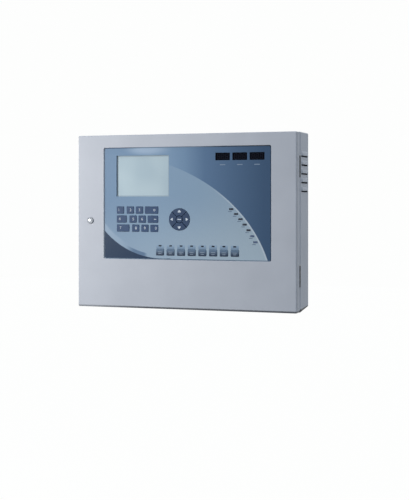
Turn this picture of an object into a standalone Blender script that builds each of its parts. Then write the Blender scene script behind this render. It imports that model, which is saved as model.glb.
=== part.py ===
# Wall-mounted fire alarm control panel with its door closed, in metres.
# X runs right along the wall, Y into the wall and Z up. The origin is the centre of the back face.

import math

import bmesh
import bpy
from mathutils import Matrix, Vector

# Sheet metal and fits
SHEET = 0.0015              # steel of the door and the box
BEND = 0.0025               # outer radius of a folded edge
FIT = 0.0003                # gap between two pieces that touch
WELD = 0.0004               # how far a welded or soldered piece runs into its carrier
ROUND = 24                  # sides of a round piece

# Door round its window
LOCK_STILE = 0.0657
HINGE_STILE = 0.0581
TOP_RAIL = 0.0292
BOTTOM_RAIL = 0.1129
DOOR_DEPTH = 0.0268
DOOR_GAP = 0.0024           # between the door's flanges and the box
WINDOW_CORNER = 0.003

# Fascia behind the window
GASKET = 0.0015
FASCIA = 0.002
FASCIA_LAP = 0.014          # fascia beyond the window on each side
OVERLAY = 0.0008
OVERLAY_GAP = 0.002         # between the overlay and the window's edge
STUD_RADIUS = 0.002
STUD_REACH = 0.006          # stud past the fascia
POST_RADIUS = 0.0025

# Graphic display
LCD_LEFT = 0.0315           # window's left edge to the opening
LCD_TOP = 0.0188
LCD_WIDTH = 0.1308
LCD_HEIGHT = 0.0946
LCD_BORDER_X = 0.0181       # module beyond the opening
LCD_BORDER_Z = 0.0072
LCD_DEPTH = 0.0125
GLASS = 0.0011
GLASS_LAP = 0.004

# Keypad: the middle keys step to the right from row to row
KEYPAD_LEFT = 0.0326
KEYPAD_DROP = 0.0233        # below the display opening
KEYPAD_WIDTH = 0.1034
KEYPAD_ROWS = 3
KEY_WIDTH = 0.0178
KEY_HEIGHT = 0.0161
KEY_ROW_GAP = 0.0048
KEY_STEP = 0.0068
KEY_GAPS = (0.0072, 0.0052, 0.0049)

# Key caps and their switches
KEY_CLEARANCE = 0.0004
KEY_PROUD = 0.001
KEY_CORNER = 0.0012
KEY_CHAMFER = 0.0004
KEY_FLANGE = 0.0012
KEY_FLANGE_LIP = 0.0012
KEY_TRAVEL = 0.001
STEM = 0.003
STEM_REACH = 0.0012         # stem in its switch at rest
SWITCH = 0.007
SWITCH_HEIGHT = 0.0036

# Navigation pad: four arc keys round a centre key
NAV_GAP = 0.0268            # keypad to pad
NAV_RADIUS = 0.0253
NAV_CENTRE_RADIUS = 0.0078
NAV_SPLIT = 0.001           # between two of its keys

# Function keys, each under a lamp
FUNCTION_COUNT = 8
FUNCTION_OFFSET = 0.0047    # keypad's right edge to the first key's centre
FUNCTION_PITCH = 0.02575
FUNCTION_WIDTH = 0.0188
FUNCTION_HEIGHT = 0.0144
FUNCTION_DROP = 0.0291      # keypad to the lamps' field
FUNCTION_LAMP_FIELD = 0.0102
FUNCTION_LAMP_DROP = 0.0026 # field's top edge to the lamps' middle
FUNCTION_LAMP = (0.0064, 0.0026)
FUNCTION_BOTTOM = 0.0096    # last row to the window's edge

# Status lamps on an arc, and the field right of the pad that holds them
LAMP_FIELD = 0.1928
LAMP_COUNT = 7
LAMP = (0.0095, 0.0038)
LAMP_ARC_RADIUS = 0.2759
LAMP_ARC_CENTRE = (-0.2810, -0.0865)   # from the window's lower right corner
LAMP_FIRST_ANGLE = 47.19
LAMP_STEP_ANGLE = -3.227
LENS_STRIP = 0.002
LENS_STRIP_WIDTH = 0.005
LENS_PROUD = 0.0002

# Numeric displays
DIGIT_COUNT = 3
DIGIT_WINDOW = (0.034, 0.0165)
DIGIT_PITCH = 0.0405
DIGIT_RIGHT = 0.0162        # last one to the window's right edge
DIGIT_TOP = 0.0154
DIGIT_BORDER = 0.0018

# Display board
BOARD = 0.0016
BOARD_MARGIN = 0.008
NOTCH_GAP = 0.003
SOUNDER_RADIUS = 0.012
SOUNDER_HEIGHT = 0.008
EMITTER = 0.003

# Box
BOX_OVERHANG = 0.0008       # box beyond the door
BOX_LIP = 0.014
BOTTOM_RISE = 0.008         # bottom wall from front to back
LOUVRE_COUNT = 5
LOUVRE_PITCH = 0.0196
LOUVRE_FIRST = 0.1483       # lower lip of the top louvre
LOUVRE_HEIGHT = 0.010
LOUVRE_PROUD = 0.003
LOUVRE_FRONT = 0.0077       # from the box's front
LOUVRE_LENGTH = 0.0555
KEYHOLE_X = 0.200
KEYHOLE_Z = 0.150
KEYHOLE_HEAD = 0.006
KEYHOLE_SLOT = 0.0033
KEYHOLE_RISE = 0.011
GLAND_WIDTH = 0.150
GLAND_DEPTH = 0.036
GLAND_LAP = 0.008

# Hinges
HINGE_UPPER = 0.124
HINGE_LOWER = -0.120
HINGE_LENGTH = 0.048
HINGE_INSET = 0.0008        # axis inside the door's outer face
KNUCKLE = 0.0025
PIN = 0.0012
PIN_HEAD = 0.0021
PIN_HEAD_HEIGHT = 0.001
LEAF = 0.00125
LEAF_REACH = 0.022
RUNNING = 0.0004            # between a knuckle and what it turns past

# Cam lock
LOCK_TO_WINDOW = 0.0343
LOCK_RISE = 0.0015
LOCK_HEAD_RADIUS = 0.0074
LOCK_HEAD = 0.0035
LOCK_BARREL_RADIUS = 0.0062
LOCK_PLUG_RADIUS = 0.0044
LOCK_TAIL = 0.0052
LOCK_NUT_RADIUS = 0.0098
LOCK_NUT = 0.004
KEYWAY = (0.0014, 0.0054)
KEYWAY_DEPTH = 0.003
CAM = 0.002
CAM_REACH = 0.025
CAM_WIDTH = 0.014
CAM_CLEARANCE = 0.0008      # behind the box's lip
TAIL_PAST_CAM = 0.001

# Inside the box
BATTERY_LENGTH = 0.151
BATTERY_DEPTH = 0.065
BATTERY_HEIGHT = 0.094
BATTERY_GAP = 0.002
BATTERY_SIDE_GAP = 0.020
BATTERY_EDGE = 0.002
TAB = (0.0008, 0.0063, 0.007)
TAB_INSET = 0.015
SHELF_RISE = 0.0058         # shelf's top above the bottom wall's back edge
STRAP = 0.0012
STRAP_WIDTH = 0.020
STRAP_FOOT = 0.012
STRAP_RISE = 0.040
STRAP_CLEARANCE = 0.001     # strap to the box's lip
SUPPLY_SIZE = (0.158, 0.038, 0.097)
SUPPLY_SIDE_GAP = 0.020
SUPPLY_LIFT = 0.0058
SUPPLY_NOTCH = (0.012, 0.018)
MAIN_WIDTH = 0.300
MAIN_HEIGHT = 0.175
MAIN_BOTTOM = -0.055
MAIN_POST = 0.008
MAIN_POST_RADIUS = 0.003
MAIN_POST_INSET = 0.008
TERMINAL_SIZE = (0.264, 0.015, 0.014)
TERMINAL_COUNT = 22
TERMINAL_INSET = 0.004
TERMINAL_WIRE = 0.005
RELAY_COUNT = 6
RELAY_SIZE = (0.019, 0.015, 0.015)
RELAY_PITCH = 0.030
SOCKET_SIZE = (0.020, 0.009, 0.014)

# Cables
RIBBON_WIDTH = 0.026
RIBBON = 0.001
RIBBON_Z = 0.030
RIBBON_DOOR_X = 0.150
RIBBON_MAIN_X = 0.130
RIBBON_PLUG = (0.006, 0.008, 0.034)
RIBBON_OUT = 0.010          # straight run out of each plug
RIBBON_LOOP = 0.236         # how far the loop reaches to the hinge side
LEAD = 0.0015
LEAD_RISE = 0.014
LEAD_OUT = 0.005            # straight run out of each end

# Outer sizes that follow
KEYPAD_HEIGHT = KEYPAD_ROWS * KEY_HEIGHT + (KEYPAD_ROWS - 1) * KEY_ROW_GAP
WINDOW_WIDTH = KEYPAD_LEFT + KEYPAD_WIDTH + NAV_GAP + 2 * NAV_RADIUS + LAMP_FIELD
FUNCTION_BLOCK = FUNCTION_DROP + FUNCTION_LAMP_FIELD + FUNCTION_HEIGHT + FUNCTION_BOTTOM
WINDOW_HEIGHT = LCD_TOP + LCD_HEIGHT + KEYPAD_DROP + KEYPAD_HEIGHT + FUNCTION_BLOCK
DOOR_WIDTH = LOCK_STILE + WINDOW_WIDTH + HINGE_STILE
DOOR_HEIGHT = TOP_RAIL + WINDOW_HEIGHT + BOTTOM_RAIL
BOX_DEPTH = 2 * SHEET + 2 * FIT + BATTERY_DEPTH + STRAP + STRAP_CLEARANCE
HALF_WIDTH = DOOR_WIDTH / 2
HALF_HEIGHT = DOOR_HEIGHT / 2

# Levels along Y, from the wall to the door's front
BOX_FRONT = -BOX_DEPTH
DOOR_REAR = BOX_FRONT - DOOR_GAP
DOOR_FRONT = DOOR_REAR - DOOR_DEPTH
DOOR_INNER = DOOR_FRONT + SHEET
GASKET_FRONT = DOOR_INNER + FIT
FASCIA_FRONT = GASKET_FRONT + GASKET + FIT
FASCIA_REAR = FASCIA_FRONT + FASCIA
OVERLAY_REAR = FASCIA_FRONT - FIT
OVERLAY_FRONT = OVERLAY_REAR - OVERLAY
KEY_FRONT = OVERLAY_FRONT - KEY_PROUD
FLANGE_FRONT = FASCIA_REAR + FIT
FLANGE_REAR = FLANGE_FRONT + KEY_FLANGE
SWITCH_TOP = FLANGE_REAR + KEY_TRAVEL + FIT
STEM_END = SWITCH_TOP + STEM_REACH
WELL_END = STEM_END + KEY_TRAVEL + FIT
BOARD_FRONT = SWITCH_TOP + SWITCH_HEIGHT
BOARD_REAR = BOARD_FRONT + BOARD
LCD_FRONT = FASCIA_REAR + FIT
LCD_REAR = LCD_FRONT + LCD_DEPTH
MAIN_REAR = -SHEET - MAIN_POST
MAIN_FRONT = MAIN_REAR - BOARD

# Places on the front, as X and Z
WINDOW_LEFT = -HALF_WIDTH + LOCK_STILE
WINDOW_RIGHT = WINDOW_LEFT + WINDOW_WIDTH
WINDOW_TOP = HALF_HEIGHT - TOP_RAIL
WINDOW_BOTTOM = WINDOW_TOP - WINDOW_HEIGHT
LCD_X0 = WINDOW_LEFT + LCD_LEFT
LCD_X1 = LCD_X0 + LCD_WIDTH
LCD_Z1 = WINDOW_TOP - LCD_TOP
LCD_Z0 = LCD_Z1 - LCD_HEIGHT
KEYPAD_X0 = WINDOW_LEFT + KEYPAD_LEFT
KEYPAD_X1 = KEYPAD_X0 + KEYPAD_WIDTH
KEYPAD_Z1 = LCD_Z0 - KEYPAD_DROP
KEYPAD_Z0 = KEYPAD_Z1 - KEYPAD_HEIGHT
NAV = (KEYPAD_X1 + NAV_GAP + NAV_RADIUS, (KEYPAD_Z0 + KEYPAD_Z1) / 2)
FUNCTION_LAMP_Z = KEYPAD_Z0 - FUNCTION_DROP - FUNCTION_LAMP_DROP
FUNCTION_Z0 = WINDOW_BOTTOM + FUNCTION_BOTTOM
LOCK = (WINDOW_LEFT - LOCK_TO_WINDOW, LOCK_RISE)

# Box walls
BOX_HALF = HALF_WIDTH + BOX_OVERHANG
BOX_TOP = HALF_HEIGHT + BOX_OVERHANG
BOX_BOTTOM_FRONT = -BOX_TOP
BOX_BOTTOM_BACK = BOX_BOTTOM_FRONT + BOTTOM_RISE
SHELF_TOP = BOX_BOTTOM_BACK + SHELF_RISE

# Hinge axis and the cam's level
HINGE_X = HALF_WIDTH - HINGE_INSET
HINGE_Y = (DOOR_REAR + BOX_FRONT) / 2
CAM_FRONT = BOX_FRONT + SHEET + CAM_CLEARANCE

# Finishes: colour, roughness, metallic
GREY_PAINT = ((0.53, 0.56, 0.61), 0.45, 0.0)
STEEL = ((0.62, 0.62, 0.63), 0.3, 1.0)
DARK_STEEL = ((0.12, 0.12, 0.13), 0.4, 1.0)
GREY_RUBBER = ((0.42, 0.45, 0.50), 0.8, 0.0)
BLUE_PAINT = ((0.20, 0.29, 0.40), 0.6, 0.0)
BLUE_FILM = ((0.20, 0.31, 0.43), 0.35, 0.0)
KEY_BLUE = ((0.07, 0.10, 0.17), 0.4, 0.0)
LCD_TINT = ((0.42, 0.52, 0.58), 0.15, 0.0)
BLACK_FILTER = ((0.006, 0.008, 0.015), 0.15, 0.0)
LENS = ((0.03, 0.045, 0.08), 0.25, 0.0)
GREEN_BOARD = ((0.02, 0.14, 0.06), 0.45, 0.0)
TERMINAL_GREEN = ((0.05, 0.25, 0.12), 0.5, 0.0)
BATTERY_GREY = ((0.08, 0.08, 0.09), 0.55, 0.0)
RIBBON_GREY = ((0.45, 0.46, 0.48), 0.6, 0.0)
RED_WIRE = ((0.5, 0.02, 0.02), 0.5, 0.0)
BLACK_WIRE = ((0.02, 0.02, 0.02), 0.5, 0.0)


# Shapes
def arc(centre, radius, start, end, steps):
    angles = [start + (end - start) * i / steps for i in range(steps + 1)]
    return [(centre[0] + radius * math.cos(a), centre[1] + radius * math.sin(a)) for a in angles]


def circle(centre, radius, sides=ROUND):
    return arc(centre, radius, 0, math.tau, sides)[:-1]


def rectangle(x0, z0, x1, z1):
    return [(x0, z0), (x1, z0), (x1, z1), (x0, z1)]


def rounded(x0, z0, x1, z1, radius, steps=1):
    left, right, low, high = x0 + radius, x1 - radius, z0 + radius, z1 - radius
    points = []
    for i, centre in enumerate(((right, low), (right, high), (left, high), (left, low))):
        start = (i - 1) * math.pi / 2
        points += arc(centre, radius, start, start + math.pi / 2, steps)
    return points


def grown(box, margin):
    return (box[0] - margin, box[1] - margin, box[2] + margin, box[3] + margin)


def centred(centre, width, height):
    x, z = centre
    return (x - width / 2, z - height / 2, x + width / 2, z + height / 2)


def place(axis, level, point):
    a, b = point
    return {"x": (level, a, b), "y": (a, level, b), "z": (a, b, level)}[axis]


# A closed body through outlines of equal point counts, each at its level along the axis.
def add_loft(bm, sections, axis="y"):
    rings = [[bm.verts.new(place(axis, level, p)) for p in outline] for outline, level in sections]
    count = len(rings[0])
    faces = [bm.faces.new(rings[0]), bm.faces.new(rings[-1])]
    for lower, upper in zip(rings, rings[1:]):
        for i in range(count):
            j = (i + 1) % count
            faces.append(bm.faces.new((lower[i], lower[j], upper[j], upper[i])))
    bmesh.ops.recalc_face_normals(bm, faces=faces)


def add_prism(bm, outline, low, high, axis="y"):
    add_loft(bm, ((outline, low), (outline, high)), axis)


def add_block(bm, low, high):
    add_prism(bm, rectangle(low[0], low[2], high[0], high[2]), low[1], high[1])


# Objects
def finish_of(name, finish):
    colour, roughness, metallic = finish
    material = bpy.data.materials.new(name + "_finish")
    material.use_nodes = True
    shader = material.node_tree.nodes["Principled BSDF"]
    shader.inputs["Base Color"].default_value = (*colour, 1)
    shader.inputs["Roughness"].default_value = roughness
    shader.inputs["Metallic"].default_value = metallic
    return material


def attach(obj, pivot):
    obj.parent = pivot
    obj.matrix_parent_inverse = Matrix.Translation(pivot["at"]).inverted()


def pivot(name, at, parent=None):
    empty = bpy.data.objects.new(name, None)
    empty["at"] = at
    empty.location = at
    bpy.context.scene.collection.objects.link(empty)
    if parent:
        attach(empty, parent)
    return empty


def solid(name, bm, finish, parent=None, origin=(0, 0, 0)):
    bmesh.ops.translate(bm, verts=bm.verts, vec=-Vector(origin))
    mesh = bpy.data.meshes.new(name)
    bm.to_mesh(mesh)
    bm.free()
    obj = bpy.data.objects.new(name, mesh)
    obj.location = origin
    bpy.context.scene.collection.objects.link(obj)
    if finish:
        mesh.materials.append(finish_of(name, finish))
    if parent:
        attach(obj, parent)
    return obj


def boolean(obj, operation, bm):
    tool = solid(f"{obj.name}_{operation.lower()}_{len(obj.modifiers)}", bm, None)
    tool.hide_render = True
    tool.display_type = "WIRE"
    modifier = obj.modifiers.new(operation.title(), "BOOLEAN")
    modifier.operation = operation
    modifier.solver = "EXACT"
    modifier.object = tool


def cut(obj, bm):
    boolean(obj, "DIFFERENCE", bm)


def join(obj, bm):
    boolean(obj, "UNION", bm)


def round_edges(obj, width, segments=2):
    modifier = obj.modifiers.new("Bevel", "BEVEL")
    modifier.width = width
    modifier.segments = segments
    modifier.limit_method = "ANGLE"
    modifier.angle_limit = math.radians(50)


def shade(obj):
    obj.data.shade_smooth()
    obj.data.set_sharp_from_angle(angle=math.radians(35))


# Places of the keys, lamps and displays, as boxes (x0, z0, x1, z1)
def keypad_boxes():
    boxes = []
    for row in range(KEYPAD_ROWS):
        z1 = KEYPAD_Z1 - row * (KEY_HEIGHT + KEY_ROW_GAP)
        z0 = z1 - KEY_HEIGHT
        first = KEYPAD_X0 + KEY_WIDTH + row * KEY_STEP
        second = first + KEY_GAPS[0]
        third = second + KEY_WIDTH + KEY_GAPS[1]
        fourth = third + KEY_WIDTH + KEY_GAPS[2]
        boxes.append((KEYPAD_X0, z0, first, z1))
        boxes.append((second, z0, second + KEY_WIDTH, z1))
        boxes.append((third, z0, third + KEY_WIDTH, z1))
        boxes.append((fourth, z0, KEYPAD_X1, z1))
    return boxes


def function_x(index):
    return KEYPAD_X1 + FUNCTION_OFFSET + index * FUNCTION_PITCH


def function_boxes():
    centres = [(function_x(i), FUNCTION_Z0 + FUNCTION_HEIGHT / 2) for i in range(FUNCTION_COUNT)]
    return [centred(c, FUNCTION_WIDTH, FUNCTION_HEIGHT) for c in centres]


def function_lamp_boxes():
    return [centred((function_x(i), FUNCTION_LAMP_Z), *FUNCTION_LAMP) for i in range(FUNCTION_COUNT)]


def lamp_arc_centre():
    return (WINDOW_RIGHT + LAMP_ARC_CENTRE[0], WINDOW_BOTTOM + LAMP_ARC_CENTRE[1])


def lamp_angle(index):
    return math.radians(LAMP_FIRST_ANGLE + index * LAMP_STEP_ANGLE)


def lamp_boxes():
    first, last = lamp_angle(0), lamp_angle(LAMP_COUNT - 1)
    spots = arc(lamp_arc_centre(), LAMP_ARC_RADIUS, first, last, LAMP_COUNT - 1)
    return [centred(spot, *LAMP) for spot in spots]


def digit_boxes():
    last = WINDOW_RIGHT - DIGIT_RIGHT - DIGIT_WINDOW[0] / 2
    z = WINDOW_TOP - DIGIT_TOP - DIGIT_WINDOW[1] / 2
    xs = [last - (DIGIT_COUNT - 1 - i) * DIGIT_PITCH for i in range(DIGIT_COUNT)]
    return [centred((x, z), *DIGIT_WINDOW) for x in xs]


def nav_stems():
    reach = (NAV_RADIUS + NAV_CENTRE_RADIUS) / 2
    around = [(NAV[0] + reach * dx, NAV[1] + reach * dz) for dx, dz in ((0, 1), (1, 0), (0, -1), (-1, 0))]
    return around + [NAV]


def middle(box):
    return ((box[0] + box[2]) / 2, (box[1] + box[3]) / 2)


def stem_places():
    return [middle(b) for b in keypad_boxes() + function_boxes()] + nav_stems()


def window_box():
    return (WINDOW_LEFT, WINDOW_BOTTOM, WINDOW_RIGHT, WINDOW_TOP)


def stud_places():
    x0, z0, x1, z1 = grown(window_box(), FASCIA_LAP / 2)
    return [(x, z) for x in (x0, (x0 + x1) / 2, x1) for z in (z0, z1)]


def lcd_module_box():
    x0, x1 = LCD_X0 - LCD_BORDER_X, LCD_X1 + LCD_BORDER_X
    return (x0, LCD_Z0 - LCD_BORDER_Z, x1, LCD_Z1 + LCD_BORDER_Z)


# The display board is a rectangle with a notch round the graphic display.
def display_board_frame():
    module = lcd_module_box()
    digits = digit_boxes()
    x0 = KEYPAD_X0 - BOARD_MARGIN
    x1 = digits[-1][2] + DIGIT_BORDER + BOARD_MARGIN
    z0 = FUNCTION_Z0 - BOARD_MARGIN / 2
    z1 = digits[0][3] + DIGIT_BORDER + BOARD_MARGIN
    return x0, z0, x1, z1, module[2] + NOTCH_GAP, module[1] - NOTCH_GAP


def board_posts():
    x0, z0, x1, z1, notch_x, notch_z = display_board_frame()
    inset = BOARD_MARGIN / 2
    left, right, low, high = x0 + inset, x1 - inset, z0 + inset, z1 - inset
    column, row = notch_x + inset, notch_z - inset
    return [(left, low), (right, low), (right, high), (column, high), (left, row), (right, row)]


# Holes that the fascia and its overlay share
def add_openings(bm, low, high):
    for box in keypad_boxes() + function_boxes():
        add_prism(bm, rounded(*grown(box, KEY_CLEARANCE), KEY_CORNER), low, high)
    for box in function_lamp_boxes() + lamp_boxes() + digit_boxes():
        add_prism(bm, rectangle(*grown(box, FIT)), low, high)
    add_prism(bm, circle(NAV, NAV_RADIUS + KEY_CLEARANCE), low, high)
    add_prism(bm, rectangle(LCD_X0, LCD_Z0, LCD_X1, LCD_Z1), low, high)


# Box
def box_profile(inset):
    top, back, front = BOX_TOP - inset, -inset, BOX_FRONT + inset
    return [(front, BOX_BOTTOM_FRONT + inset), (back, BOX_BOTTOM_BACK + inset), (back, top), (front, top)]


def keyhole(x, z):
    slot = math.asin(KEYHOLE_SLOT / KEYHOLE_HEAD)
    head = arc((x, z), KEYHOLE_HEAD, math.pi / 2 + slot, math.tau + math.pi / 2 - slot, ROUND)
    return head + arc((x, z + KEYHOLE_RISE), KEYHOLE_SLOT, 0, math.pi, ROUND // 3)


def main_board_box():
    return (-MAIN_WIDTH / 2, MAIN_BOTTOM, MAIN_WIDTH / 2, MAIN_BOTTOM + MAIN_HEIGHT)


def battery_left_edge(index):
    return -BOX_HALF + SHEET + BATTERY_SIDE_GAP + index * (BATTERY_LENGTH + BATTERY_GAP)


def shelf_profile(front, back):
    low, high = SHELF_TOP - SHEET, SHELF_TOP
    foot = BOX_BOTTOM_FRONT + SHEET / 2
    leg = [(front, foot), (front + SHEET, foot), (front + SHEET, low)]
    return leg + [(back, low), (back, high), (front, high)]


def louvre_lips():
    return [LOUVRE_FIRST - i * LOUVRE_PITCH for i in range(LOUVRE_COUNT)]


def make_back_box():
    bm = bmesh.new()
    add_prism(bm, box_profile(0), -BOX_HALF, BOX_HALF, "x")
    box = solid("back_box", bm, GREY_PAINT)
    round_edges(box, BEND)
    bm = bmesh.new()
    add_prism(bm, box_profile(SHEET), -BOX_HALF + SHEET, BOX_HALF - SHEET, "x")
    cut(box, bm)

    half, top, bottom = BOX_HALF - BOX_LIP, BOX_TOP - BOX_LIP, BOX_BOTTOM_FRONT + BOX_LIP
    bm = bmesh.new()
    add_block(bm, (-half, BOX_FRONT - SHEET, bottom), (half, BOX_FRONT + 2 * SHEET, top))
    notch_x = HINGE_X - KNUCKLE - RUNNING
    notch_y = HINGE_Y + KNUCKLE + RUNNING
    for z in (HINGE_LOWER, HINGE_UPPER):
        half_slot = HINGE_LENGTH / 2 + PIN_HEAD_HEIGHT + 2 * RUNNING
        add_block(bm, (notch_x, BOX_FRONT - SHEET, z - half_slot), (BOX_HALF + SHEET, notch_y, z + half_slot))
    cut(box, bm)

    front = BOX_FRONT + LOUVRE_FRONT
    back = front + LOUVRE_LENGTH
    outer, tip = BOX_HALF - WELD, BOX_HALF + LOUVRE_PROUD
    bm = bmesh.new()
    for lip in louvre_lips():
        hood = [(outer, lip), (tip, lip), (BOX_HALF, lip + LOUVRE_HEIGHT), (outer, lip + LOUVRE_HEIGHT)]
        add_prism(bm, hood, front, back)
    join(box, bm)
    bm = bmesh.new()
    for lip in louvre_lips():
        inner = BOX_HALF - 2 * SHEET
        low, high = lip - FIT, lip + LOUVRE_HEIGHT - 2 * SHEET
        slot = [(inner, high), (inner, lip), (BOX_HALF, lip)]
        mouth = slot + [(BOX_HALF, low), (tip - SHEET, low), (BOX_HALF, high)]
        add_prism(bm, mouth, front + SHEET, back - SHEET)
    cut(box, bm)

    bm = bmesh.new()
    for x in (-KEYHOLE_X, KEYHOLE_X):
        for z in (-KEYHOLE_Z, KEYHOLE_Z):
            add_prism(bm, keyhole(x, z), -2 * SHEET, SHEET)
    gland = centred((0, BOX_FRONT / 2), GLAND_WIDTH, GLAND_DEPTH)
    add_prism(bm, rounded(*gland, WINDOW_CORNER), BOX_TOP - 2 * SHEET, BOX_TOP + SHEET, "z")
    cut(box, bm)

    bm = bmesh.new()
    x0, z0, x1, z1 = grown(main_board_box(), -MAIN_POST_INSET)
    for post in ((x0, z0), (x1, z0), (x1, z1), (x0, z1)):
        add_prism(bm, circle(post, MAIN_POST_RADIUS, ROUND // 2), MAIN_REAR + FIT, -SHEET + WELD)
    shelf_front = -SHEET - FIT - BATTERY_DEPTH
    ends = (battery_left_edge(0), battery_left_edge(1) + BATTERY_LENGTH)
    add_prism(bm, shelf_profile(shelf_front, -SHEET + WELD), *ends, "x")
    join(box, bm)
    return box


def make_gland_plate():
    bm = bmesh.new()
    outline = rounded(*grown(centred((0, BOX_FRONT / 2), GLAND_WIDTH, GLAND_DEPTH), GLAND_LAP), WINDOW_CORNER)
    under = BOX_TOP - SHEET - FIT
    add_prism(bm, outline, under - SHEET, under, "z")
    solid("gland_plate", bm, GREY_PAINT)


# Door
def make_door_shell(door):
    bm = bmesh.new()
    add_block(bm, (-HALF_WIDTH, DOOR_FRONT, -HALF_HEIGHT), (HALF_WIDTH, DOOR_REAR, HALF_HEIGHT))
    rear = [f for f in bm.faces if f.normal.y > 0.5]
    sharp = {e for f in rear for e in f.edges}
    bmesh.ops.bevel(
        bm, geom=[e for e in bm.edges if e not in sharp], offset=BEND, segments=3, profile=0.5, affect="EDGES"
    )
    shell = solid("door_shell", bm, GREY_PAINT, door, (HINGE_X, HINGE_Y, 0))
    bm = bmesh.new()
    inner_x, inner_z = HALF_WIDTH - SHEET, HALF_HEIGHT - SHEET
    add_block(bm, (-inner_x, DOOR_INNER, -inner_z), (inner_x, DOOR_REAR + SHEET, inner_z))
    cut(shell, bm)

    bm = bmesh.new()
    through = (DOOR_FRONT - SHEET, DOOR_INNER + SHEET)
    add_prism(bm, rounded(*window_box(), WINDOW_CORNER, 3), *through)
    add_prism(bm, circle(LOCK, LOCK_BARREL_RADIUS + FIT), *through)
    notch_y = HINGE_Y - KNUCKLE - RUNNING
    for z in (HINGE_LOWER, HINGE_UPPER):
        half_slot = HINGE_LENGTH / 2 + PIN_HEAD_HEIGHT + 2 * RUNNING
        low = (inner_x - SHEET, notch_y, z - half_slot)
        add_block(bm, low, (HALF_WIDTH + SHEET, DOOR_REAR + SHEET, z + half_slot))
    cut(shell, bm)

    bm = bmesh.new()
    for spot in stud_places():
        add_prism(bm, circle(spot, STUD_RADIUS, ROUND // 2), DOOR_INNER - WELD, FASCIA_REAR + STUD_REACH)
    join(shell, bm)


def add_stud_holes(bm, low, high):
    for spot in stud_places():
        add_prism(bm, circle(spot, STUD_RADIUS + FIT, ROUND // 2), low, high)


def make_window_gasket(door):
    bm = bmesh.new()
    add_prism(bm, rectangle(*grown(window_box(), FASCIA_LAP)), GASKET_FRONT, GASKET_FRONT + GASKET)
    gasket = solid("window_gasket", bm, GREY_RUBBER, door)
    bm = bmesh.new()
    through = (GASKET_FRONT - GASKET, GASKET_FRONT + 2 * GASKET)
    add_prism(bm, rounded(*grown(window_box(), FIT), WINDOW_CORNER), *through)
    add_stud_holes(bm, *through)
    cut(gasket, bm)


def make_fascia_plate(door):
    bm = bmesh.new()
    add_prism(bm, rectangle(*grown(window_box(), FASCIA_LAP)), FASCIA_FRONT, FASCIA_REAR)
    fascia = solid("fascia_plate", bm, BLUE_PAINT, door)
    bm = bmesh.new()
    through = (FASCIA_FRONT - FASCIA, FASCIA_REAR + FASCIA)
    add_openings(bm, *through)
    add_stud_holes(bm, *through)
    cut(fascia, bm)
    bm = bmesh.new()
    for post in board_posts():
        add_prism(bm, circle(post, POST_RADIUS, ROUND // 2), FASCIA_REAR - WELD, BOARD_FRONT - FIT)
    join(fascia, bm)


def make_overlay(door):
    bm = bmesh.new()
    outline = rounded(*grown(window_box(), -OVERLAY_GAP), WINDOW_CORNER - OVERLAY_GAP / 2)
    add_prism(bm, outline, OVERLAY_FRONT, OVERLAY_REAR)
    overlay = solid("overlay", bm, BLUE_FILM, door)
    bm = bmesh.new()
    add_openings(bm, OVERLAY_FRONT - OVERLAY, OVERLAY_REAR + OVERLAY)
    cut(overlay, bm)


def make_lcd(door):
    bm = bmesh.new()
    add_prism(bm, rectangle(*lcd_module_box()), LCD_FRONT, LCD_REAR)
    module = solid("lcd_module", bm, DARK_STEEL, door)
    glass_box = grown((LCD_X0, LCD_Z0, LCD_X1, LCD_Z1), GLASS_LAP)
    bm = bmesh.new()
    add_prism(bm, rectangle(*grown(glass_box, FIT)), LCD_FRONT - GLASS, LCD_FRONT + GLASS + FIT)
    cut(module, bm)
    bm = bmesh.new()
    add_prism(bm, rectangle(*glass_box), LCD_FRONT, LCD_FRONT + GLASS)
    solid("lcd_glass", bm, LCD_TINT, door)


def make_digit_displays(door):
    for i, box in enumerate(digit_boxes()):
        face, body = rectangle(*box), rectangle(*grown(box, DIGIT_BORDER))
        bm = bmesh.new()
        add_loft(bm, ((face, OVERLAY_REAR), (face, LCD_FRONT), (body, LCD_FRONT), (body, BOARD_FRONT - FIT)))
        solid(f"digit_display_{i + 1}", bm, BLACK_FILTER, door)


def make_lens_strips(door):
    back, front = LCD_FRONT + LENS_STRIP, OVERLAY_FRONT - LENS_PROUD
    half = LENS_STRIP_WIDTH / 2

    row = function_lamp_boxes()
    z0, z1 = FUNCTION_LAMP_Z - half, FUNCTION_LAMP_Z + half
    bm = bmesh.new()
    add_prism(bm, rectangle(row[0][0] - half, z0, row[-1][2] + half, z1), LCD_FRONT, back)
    strip = solid("function_lens_strip", bm, LENS, door)
    bm = bmesh.new()
    for box in row:
        add_prism(bm, rectangle(*box), front, LCD_FRONT + LENS_STRIP / 2)
    join(strip, bm)

    centre = lamp_arc_centre()
    spread = LAMP[0] / LAMP_ARC_RADIUS
    first, last = lamp_angle(0) + spread, lamp_angle(LAMP_COUNT - 1) - spread
    outer = arc(centre, LAMP_ARC_RADIUS + half, first, last, LAMP_COUNT)
    inner = arc(centre, LAMP_ARC_RADIUS - half, last, first, LAMP_COUNT)
    bm = bmesh.new()
    add_prism(bm, outer + inner, LCD_FRONT, back)
    strip = solid("status_lens_strip", bm, LENS, door)
    bm = bmesh.new()
    for box in lamp_boxes():
        add_prism(bm, rectangle(*box), front, LCD_FRONT + LENS_STRIP / 2)
    join(strip, bm)


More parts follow.
